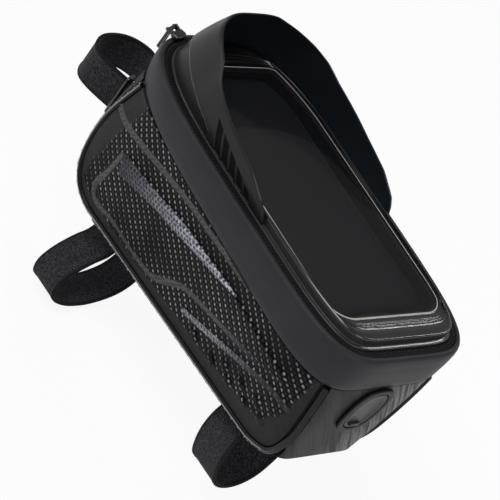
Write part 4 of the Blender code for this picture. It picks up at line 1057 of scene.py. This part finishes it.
def roundedRectangle(length, width, radius, steps):
    line = [(length / 2, 0.0)]
    for signX, signY, start in ((1, 1, 0), (-1, 1, 90), (-1, -1, 180), (1, -1, 270)):
        for step in range(steps + 1):
            angle = math.radians(start + 90 * step / steps)
            line.append((signX * (length / 2 - radius) + radius * math.cos(angle),
                         signY * (width / 2 - radius) + radius * math.sin(angle)))
    return np.array(line)


def rimHalfWidth(x):
    power, reach = rimShape(x > body["rimWidest"])
    part = np.minimum(np.abs(x - body["rimWidest"]) / reach, 1.0)
    return body["rimHalf"] * (1 - part ** power) ** (1 / power)


def keptInside(outline, margin):
    slope = rimHalfWidth(outline[:, 0] + 0.5) - rimHalfWidth(outline[:, 0] - 0.5)
    limit = rimHalfWidth(outline[:, 0]) - margin * np.hypot(1.0, slope)
    return np.column_stack([outline[:, 0], np.sign(outline[:, 1]) * np.minimum(np.abs(outline[:, 1]), limit)])


windowEdge = evenly(roundedRectangle(*lid["window"], 24), 720, True)
windowLine = evenly(keptInside(windowEdge, lid["crestInset"] + lid["leastWidth"]), len(rim), True)
windowOut = sideways(windowLine, closed=True)


def windowRing(inset, height):
    return np.column_stack([windowLine - windowOut * inset, np.full(len(windowLine), height)])


def lidFrame():
    ledge, crestTop = lid["ledgeTop"], lid["crestTop"]
    side, inset, extra = zipRun["frameInset"], lid["crestInset"], lid["frontExtra"]
    matt = 8  # so many rings lie below the crest
    crest = inwards(rim, inset + 0.5, 0.0, extra)[:, :2]
    width = np.linalg.norm(crest - windowLine, axis=1)
    room = np.minimum(width * 0.09, lid["ridgeHeight"])
    rings = [inwards(rim, side, zipRun["frameBottom"])]
    rings += [inwards(rim, side + a, ledge - b) for a, b in ((0, 0.5), (0.15, 0.15), (0.5, 0))]
    rings += [inwards(rim, inset - a, ledge + b, extra) for a, b in ((0.25, 0), (0.05, 0.15), (0, 0.5))]
    rings += [inwards(rim, inset + a, crestTop - b, extra) for a, b in ((0, 1.3), (0.08, 0.7), (0.25, 0.3))]
    for share in np.linspace(0, 0.985, 60):
        crown = 0.30 * math.sin(math.pi * min(share / lid["ridges"][0], 1.0))
        drop = lid["stepDrop"] * float(smoothStep(0.15, 0.9, share))
        ridge = sum(math.exp(-((share - at) / (lid["ridgeWidth"] * 0.42)) ** 2) for at in lid["ridges"])
        groove = float(smoothStep(lid["channel"] - 0.03, lid["channel"], share))
        height = crestTop - 0.12 + np.minimum(crown, width * 0.05) - drop + room * (ridge - 0.4 * groove)
        rings.append(np.column_stack([crest + (windowLine - crest) * share, height]))
    rings += [windowRing(0, crestTop - lid["stepDrop"] - 0.25), windowRing(0, zipRun["frameBottom"])]
    item = tube("lidFrame", np.array(rings), glossFinish.material, closed=True, angle=50)
    setAttribute(item, "ledge", np.repeat(np.arange(len(rings)) < matt, len(rim)))
    finishPiece(item, "lid", "gloss_plastic", "lid_frame")


def windowFilm():
    filmTop = lid["filmBottom"] + lid["filmThick"]
    insets = (0.3, 0.3, 0.45, 0.95, 1.15)
    heights = (lid["filmBottom"], filmTop - 0.15, filmTop, filmTop, filmTop - 0.05)
    rings = [windowRing(a, b) for a, b in zip(insets, heights)]
    item = tube("windowFilm", np.array(rings), filmFinish.material, closed=False, angle=30)
    edge = np.concatenate([np.full(len(rim), v) for v in (0.0, 1.0, 1.0, 0.7, 0.0)])
    setAttribute(item, "edge", edge)
    finishPiece(item, "lid", "clear_film", "window_film")


def windowGasket():
    top = lid["filmBottom"] - body["gap"]
    section = roundSection([(0.3, top), (0.3, top - 1.2), (2.7, top - 1.2), (2.7, top)], 0.4, 3)
    rings = np.array([windowRing(a, b) for a, b in section])
    item = tube("windowGasket", rings, rubberFinish.material, closed=True)
    finishPiece(item, "lid", "rubber", "window_gasket")


lidFrame()
windowFilm()
windowGasket()
print("lid made")


# Sun visor

visor = {
    "stations": [(-20.0, 1.2, 0.0), (-17.0, 6.0, -1.0), (-13.0, 9.0, -2.4), (0.0, 13.9, -2.8),
                 (10.0, 15.8, -2.4), (20.0, 17.5, -2.2), (30.0, 19.5, -1.9), (40.0, 21.6, -1.0),
                 (50.0, 24.1, 0.7), (60.0, 29.0, 4.2), (72.0, 31.0, 6.5), (84.0, 32.0, 9.0),
                 (94.0, 33.0, 11.5), (101.0, 34.0, 12.5)],
    "thick": 1.5, "bulge": 1.2, "skirtDepth": 0.95,
    "skirt": [(35.0, 3.0), (42.0, 5.0), (66.0, 8.5), (81.0, 11.0), (101.0, 12.0)],
    "louvres": 5, "slotTip": (34.1, 112.2), "slotShoulder": (28.3, 110.8), "slotStep": (8.43, 2.1),
    "slotLean": 0.5, "slotFoot": 98.2, "slotDepth": 0.9, "columns": 560, "rows": 64,
}


def makeVisor():
    stations = np.array(visor["stations"])
    skirtLine = np.array(visor["skirt"])
    points, normals = openRim(lambda p: p[0] > stations[0, 0], visor["columns"])
    x = points[:, 0]
    height = np.interp(x, stations[:, 0], stations[:, 1])
    lean = np.interp(x, stations[:, 0], stations[:, 2])
    kernel = np.hanning(17) / np.hanning(17).sum()

    def eased(values):
        return np.convolve(np.pad(values, 8, mode="edge"), kernel, mode="valid")

    height = np.where(x < -12, height, eased(height))
    lean = eased(lean)
    share = np.linspace(0, 1, visor["rows"])
    bulge = visor["bulge"] * np.sin(math.pi * share) * np.minimum(height / 30.0, 1.0)[:, None]
    inset = zipRun["frameInset"] + 0.1 + lean[:, None] * share - bulge
    z = lid["ledgeTop"] + 0.3 + height[:, None] * share
    skirt = np.interp(x, skirtLine[:, 0], skirtLine[:, 1])
    onSkirt = smoothStep(skirtLine[0, 0], skirtLine[0, 0] + 1.5, x)[:, None]
    fromSkirt = z - lid["ledgeTop"] - 0.3 - skirt[:, None]
    depth = visor["skirtDepth"] * onSkirt * (1 - smoothStep(-0.35, 0.45, fromSkirt))
    # A band along the skirt's step that gets a painted highlight
    skirtPaintedHighlight = onSkirt * (1 - smoothStep(0.3, 0.9, np.abs(fromSkirt - 0.1)))
    flat = np.stack([np.repeat(x, visor["rows"]), z.ravel()], axis=1)
    slots = np.zeros(z.shape)
    for index in range(visor["louvres"]):
        tipX, tipZ = np.array(visor["slotTip"]) - index * np.array(visor["slotStep"])
        backX, backZ = np.array(visor["slotShoulder"]) - index * np.array(visor["slotStep"])
        foot = visor["slotFoot"]
        slot = [(tipX, tipZ), (backX, backZ), (backX - visor["slotLean"] * (backZ - foot), foot),
                (tipX - visor["slotLean"] * (tipZ - foot), foot)]
        opened = smoothStep(-0.25, 0.35, polygonDepth(flat, slot)).reshape(z.shape)
        slots = np.maximum(slots, opened)
        depth = np.maximum(depth, visor["slotDepth"] * opened)
    edge = 0.35 * smoothStep(0.955, 1.0, share)

    def surface(extra):
        moved = points[:, None, :] - normals[:, None, :] * (inset + extra)[:, :, None]
        return np.concatenate([moved, z[:, :, None]], axis=2)

    outer, inner = surface(depth + edge), surface(visor["thick"] - edge * 0.5)
    item = slab("sunVisor", outer, inner, visorFinish.material, angle=45)
    setAttribute(item, "inside", np.r_[np.zeros(z.size), np.ones(z.size)])
    # Marks the slots for their painted shade
    setAttribute(item, "slot", np.r_[slots.ravel(), np.zeros(z.size)])
    setAttribute(item, "skirtPaintedHighlight", np.r_[skirtPaintedHighlight.ravel(), np.zeros(z.size)])
    finishPiece(item, "lid", "visor_plastic", "sun_visor")


makeVisor()
print("visor made")


# Padded flap under the lid

pad = {
    "front": 86.0, "rear": -72.0, "half": 42.6, "corner": 12.0, "thick": 5.2, "margin": 3.6, "voxel": 3.2,
    "pressure": 4.0, "cap": 1.6, "fill": 0.4,
}


def swell(item):
    # Cloth under pressure, whose points may move only as far as the cap
    grid = item.modifiers.new("grid", "REMESH")
    grid.mode = "VOXEL"
    grid.voxel_size = pad["voxel"] * mm
    bake(item)
    start = np.array([v.co for v in item.data.vertices])
    cloth = item.modifiers.new("cloth", "CLOTH")
    cloth.settings.use_pressure = True
    cloth.settings.uniform_pressure_force = pad["pressure"]
    cloth.settings.effector_weights.gravity = 0.0
    cloth.settings.quality = 4
    for step in range(1, 21):
        bpy.context.scene.frame_set(step)
    bake(item)
    move = np.array([v.co for v in item.data.vertices]) - start
    far = np.linalg.norm(move, axis=1, keepdims=True)
    place = start + move * np.minimum(1.0, pad["cap"] * mm / np.maximum(far, 1e-9))
    for vertex, spot in zip(item.data.vertices, place):
        vertex.co = spot
    bpy.context.scene.frame_set(1)
    finer = item.modifiers.new("finer", "SUBSURF")
    finer.levels = 1
    finer.render_levels = 1
    bake(item)
    item.data.materials.clear()
    item.data.materials.append(liningFinish.material)
    item.data.shade_smooth()


def makePad():
    low = zipRun["frameBottom"] - 0.3 - pad["thick"]
    middle = np.array([(pad["front"] + pad["rear"]) / 2, 0.0])
    outline = roundedRectangle(pad["front"] - pad["rear"], 2 * pad["half"], pad["corner"], 12) + middle
    outline = keptInside(evenly(outline, 240, True), pad["margin"])
    out = sideways(outline, closed=True)
    levels = ((1.9, 0.5), (1.0, 1.0), (0.6, 2.4), (0.6, 3.6), (1.2, 4.6), (2.2, 5.0))
    rings = [np.column_stack([outline - out * a, np.full(240, low + b)]) for a, b in levels]
    item = tube("retainerPad", np.array(rings), liningFinish.material, closed=False, angle=180)
    swell(item)
    finishPiece(item, "lid", "padded_lining", "retainer_pad")


makePad()
refined("retainerTab", "retainer_tab", webFinish, "lid", "hook_and_loop", 0.5)
print("retainer made")


# Slider and puller

refined("zipSlider", "zip_slider", metalFinish, "zip_slider", "coated_metal", 0.25)
refined("zipPuller", "zip_puller", metalFinish, "zip_puller", "coated_metal", 0.25)


# Straps with their keepers and rings

strap = {
    "width": 21.0, "thick": 2.2, "edge": 1.5, "points": 44, "steps": 240,
    "loops": {
        "mid": [(0.0, 0.0), (4.5, 0.0), (8.0, -3.0), (9.8, -9.0), (12.0, -14.5), (18.0, -19.0),
                (24.0, -26.0), (26.6, -34.0), (24.0, -41.5), (17.5, -46.5), (8.0, -49.7), (0.0, -50.4)],
        "rear": [(0.0, 0.0), (4.5, 0.0), (11.0, -1.5), (17.3, -5.0), (21.0, -12.0), (21.6, -22.0),
                 (19.1, -32.5), (14.8, -41.0), (8.0, -46.0), (0.0, -47.6)],
        "front": [(0.0, 0.0), (4.5, 0.0), (8.0, -3.5), (11.0, -11.5), (15.0, -19.5), (18.2, -27.5),
                  (18.8, -34.5), (14.5, -41.0), (8.0, -45.0), (0.0, -46.2)],
    },
    "lean": {"mid": 0.36, "rear": 0.04, "front": 0.0}, "ringAt": {"mid": 0.125, "rear": 0.14, "front": 0.14},
    "midX": 70.0, "rearX": -62.0, "frontZ": 40.4, "wire": 1.1, "clearance": 0.9,
}


def strapFrame(which):
    if which == "front":
        wallX = float(endWallX(0.0, body["rimFront"], strap["frontZ"]))
        return np.array([wallX, 0.0, strap["frontZ"]]), np.array([0.0, 0.0, 1.0]), np.array([-1.0, 0.0, 0.0])
    x = strap[which + "X"]
    length = math.hypot(1.0, body["baseSlope"])
    slope = np.array([1.0, 0.0, body["baseSlope"]]) / length
    return np.array([x, 0.0, baseHeight(x)]), slope, np.array([-slope[2], 0.0, slope[0]])


def strapSection():
    half, edge = strap["width"] / 2, strap["thick"] / 2
    rail = strap["edge"]
    upper = [(-half + 0.35, edge), (-half + rail, edge), (-half + rail + 0.35, edge - 0.25)]
    upper += [(a, edge - 0.25) for a in np.linspace(-half + rail + 1.2, half - rail - 1.2, 12)]
    upper += [(-a, b) for a, b in reversed(upper[:3])]
    side = [(half, edge - 0.35), (half, 0.22), (half - 0.5, 0.0), (half, -0.22), (half, -edge + 0.35)]
    lower = [(-a, -b) for a, b in upper]
    return np.array(upper + side + lower + [(-a, -b) for a, b in side])


def makeStrap(which):
    origin, xAxis, zAxis = strapFrame(which)
    yAxis = np.cross(zAxis, xAxis)
    half = np.array(strap["loops"][which])
    mirrored = half[1:-1][::-1] * (-1, 1)
    loop = np.vstack([half, mirrored])
    loop[:, 0] -= strap["lean"][which] * loop[:, 1]
    line = catmull(loop, 12, closed=True)
    coarse = evenly(line, strap["points"], closed=True)
    path = evenly(line, strap["steps"], closed=True)
    shift = -0.3 - strap["thick"] / 2 - coarse[:, 1].max()

    def placed(across, away, a):
        return origin + a[..., None] * xAxis + across[..., None] * yAxis + (away + shift)[..., None] * zAxis

    normals = sideways(path, closed=True)
    section = strapSection()
    a, b = section[:, 0], section[:, 1]
    across = path[:, :1] + normals[:, :1] * b
    away = path[:, 1:] + normals[:, 1:] * b
    rings = placed(across, away, np.broadcast_to(a, across.shape))
    item = tube("strap" + which.title(), rings, strapFinish.material, closed=True)
    rail = strap["width"] / 2 - strap["edge"]
    atEdge = smoothStep(rail - 0.2, rail + 0.2, np.abs(a))
    setAttribute(item, "edge", np.tile(atEdge, len(path)))
    finishPiece(item, "bag", "hook_and_loop", "strap_" + which)

    index = int(strap["points"] * strap["ringAt"][which])
    if coarse[index, 0] < 0:
        index = strap["points"] - index
    spot = coarse[index]
    out = sideways(coarse, closed=True)[index]
    grow = strap["clearance"] + strap["wire"]
    around = roundedRectangle(strap["width"] + 2 * grow, strap["thick"] + 2 * grow, grow, 8)[1:]
    outline = evenly(around, 160, True)
    facing = sideways(outline, closed=True)
    centre = placed(spot[:1], spot[1:], np.zeros(1))[0]
    outward = out[0] * yAxis + out[1] * zAxis
    along = np.cross(outward, xAxis)
    turns = np.linspace(0, 2 * math.pi, 14, endpoint=False)
    wire = strap["wire"]
    spots = outline[:, None, :] + facing[:, None, :] * (wire * np.cos(turns))[None, :, None]
    lifted = (wire * np.sin(turns))[None, :, None] * along
    rings = centre + spots[..., :1] * xAxis + spots[..., 1:] * outward + lifted
    ring = tube("ring" + which.title(), rings, glossFinish.material, closed=True)
    finishPiece(ring, "bag", "gloss_plastic", "ring_" + which)
    refined("keeper" + which.title(), "keeper_" + which, webFinish, "bag", "piping_and_webbing", 0.3)


for which in ("mid", "rear", "front"):
    makeStrap(which)
print("straps made")


# Seat pad with ribs that grip the tube

seat = {"length": 72.0, "width": 42.0, "corner": 8.0, "ribPitch": 5.0, "ribDepth": 0.45, "border": 1.5}


def makeSeatPad():
    origin, xAxis, zAxis = strapFrame("mid")
    thick = body["baseHeight"] * xAxis[0] - 0.3
    x = np.linspace(-seat["length"] / 2, seat["length"] / 2, 180)
    past = np.maximum(np.abs(x) - (seat["length"] / 2 - seat["corner"]), 0)
    half = seat["width"] / 2 - seat["corner"] + np.sqrt(np.maximum(seat["corner"] ** 2 - past ** 2, 0))
    y = half[:, None] * np.linspace(-1, 1, 40)
    groove = smoothStep(0.35, 0.8, np.abs((x / seat["ribPitch"]) % 1 - 0.5) * 2)
    border = seat["border"]
    inside = smoothStep(0.0, border, half[:, None] - np.abs(y) - border)
    inside = inside * smoothStep(0.0, border, seat["length"] / 2 - np.abs(x) - border)[:, None]
    lower = seat["ribDepth"] * groove[:, None] * inside

    def placed(height):
        level = x[:, None, None] * xAxis + height[..., None] * zAxis
        level[..., 1] += y
        return level

    item = slab("seatPad", placed(lower), placed(np.full(y.shape, thick)), rubberFinish.material)
    finishPiece(item, "bag", "rubber", "seat_pad")


makeSeatPad()
print("seat pad made")


# Camera, light and floor

view = {
    "place": (-458.4, 742.7, 628.3), "lens": 151.2,
    "right": (-0.4791, -0.7051, 0.5228), "up": (0.7593, -0.0340, 0.6498), "back": (-0.4404, 0.7083, 0.5517),
    "keyPower": 15.0, "fillPower": 5.0, "worldLight": 0.34, "stripPower": 1.6,
}


def makeCamera():
    data = bpy.data.cameras.new("camera")
    data.lens = view["lens"]
    data.sensor_width = 36.0
    data.clip_end = 20.0
    camera = bpy.data.objects.new("camera", data)
    matrix = Matrix((view["right"], view["up"], view["back"])).transposed().to_4x4()
    camera.rotation_mode = "QUATERNION"
    camera.location = Vector(view["place"]) * mm
    camera.rotation_quaternion = matrix.to_quaternion()
    bpy.context.scene.collection.objects.link(camera)
    bpy.context.scene.camera = camera


def areaLight(name, place, target, size, power, length=None):
    data = bpy.data.lights.new(name, "AREA")
    data.size = size
    if length:
        data.shape = "RECTANGLE"
        data.size_y = length
    data.energy = power
    lamp = bpy.data.objects.new(name, data)
    lamp.location = place
    lamp.rotation_mode = "QUATERNION"
    lamp.rotation_quaternion = (Vector(place) - Vector(target)).to_track_quat("Z", "Y")
    bpy.context.scene.collection.objects.link(lamp)


def paleFloor():
    # Nearly white to the camera and in reflections, and a plain pale floor to the lamps
    finish = Finish("floor", (0.85, 0.85, 0.85), 0.9)
    path = finish.node("ShaderNodeLightPath", {}, {})
    seen = Value(finish, path.outputs["Is Camera Ray"])
    for ray in ("Is Glossy Ray", "Is Transmission Ray"):
        seen = seen.maths("MAXIMUM", Value(finish, path.outputs[ray]))
    white = finish.node("ShaderNodeEmission", {}, {"Color": (1, 1, 1, 1), "Strength": 1.0})
    parts = {0: seen * 0.9, 1: finish.shader.outputs[0], 2: white.outputs[0]}
    mixed = finish.node("ShaderNodeMixShader", {}, parts)
    finish.tree.links.new(mixed.outputs[0], finish.tree.nodes["Material Output"].inputs["Surface"])
    size = 6000.0
    level = cadLow.z / mm - 2.0
    corners = [(x * size, y * size, level) for x, y in ((-1, -1), (1, -1), (1, 1), (-1, 1))]
    floor = meshFrom("floor", corners, [(0, 1, 2, 3)], finish.material)
    floor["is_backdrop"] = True


def worldLight():
    # Full white to the camera, and less of it as light
    world = bpy.data.worlds.new("world")
    bpy.context.scene.world = world
    world.use_nodes = True
    tree = world.node_tree
    background = tree.nodes["Background"]
    background.inputs["Color"].default_value = (1, 1, 1, 1)
    path = tree.nodes.new("ShaderNodeLightPath")
    scale = tree.nodes.new("ShaderNodeMapRange")
    scale.inputs["To Min"].default_value = view["worldLight"]
    tree.links.new(path.outputs["Is Camera Ray"], scale.inputs["Value"])
    tree.links.new(scale.outputs[0], background.inputs["Strength"])


makeCamera()
areaLight("keyLight", (0.1, 0.9, 1.5), (0, 0, 0.05), 0.9, view["keyPower"])
areaLight("rearLight", (-1.2, 0.3, 0.6), (0, 0, 0.05), 0.7, view["fillPower"])
areaLight("frontLight", (1.2, 0.9, 0.5), (0, 0, 0.05), 0.6, view["fillPower"])
for side, across in (("Left", -0.98), ("Right", -1.11)):
    areaLight("strip" + side, (-0.03, across, 1.0), (-0.088, 0.0, 0.102), 0.05, view["stripPower"], 0.5)
paleFloor()
worldLight()
bpy.context.scene.view_settings.view_transform = "Standard"
print("camera and light made")

low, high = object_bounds()
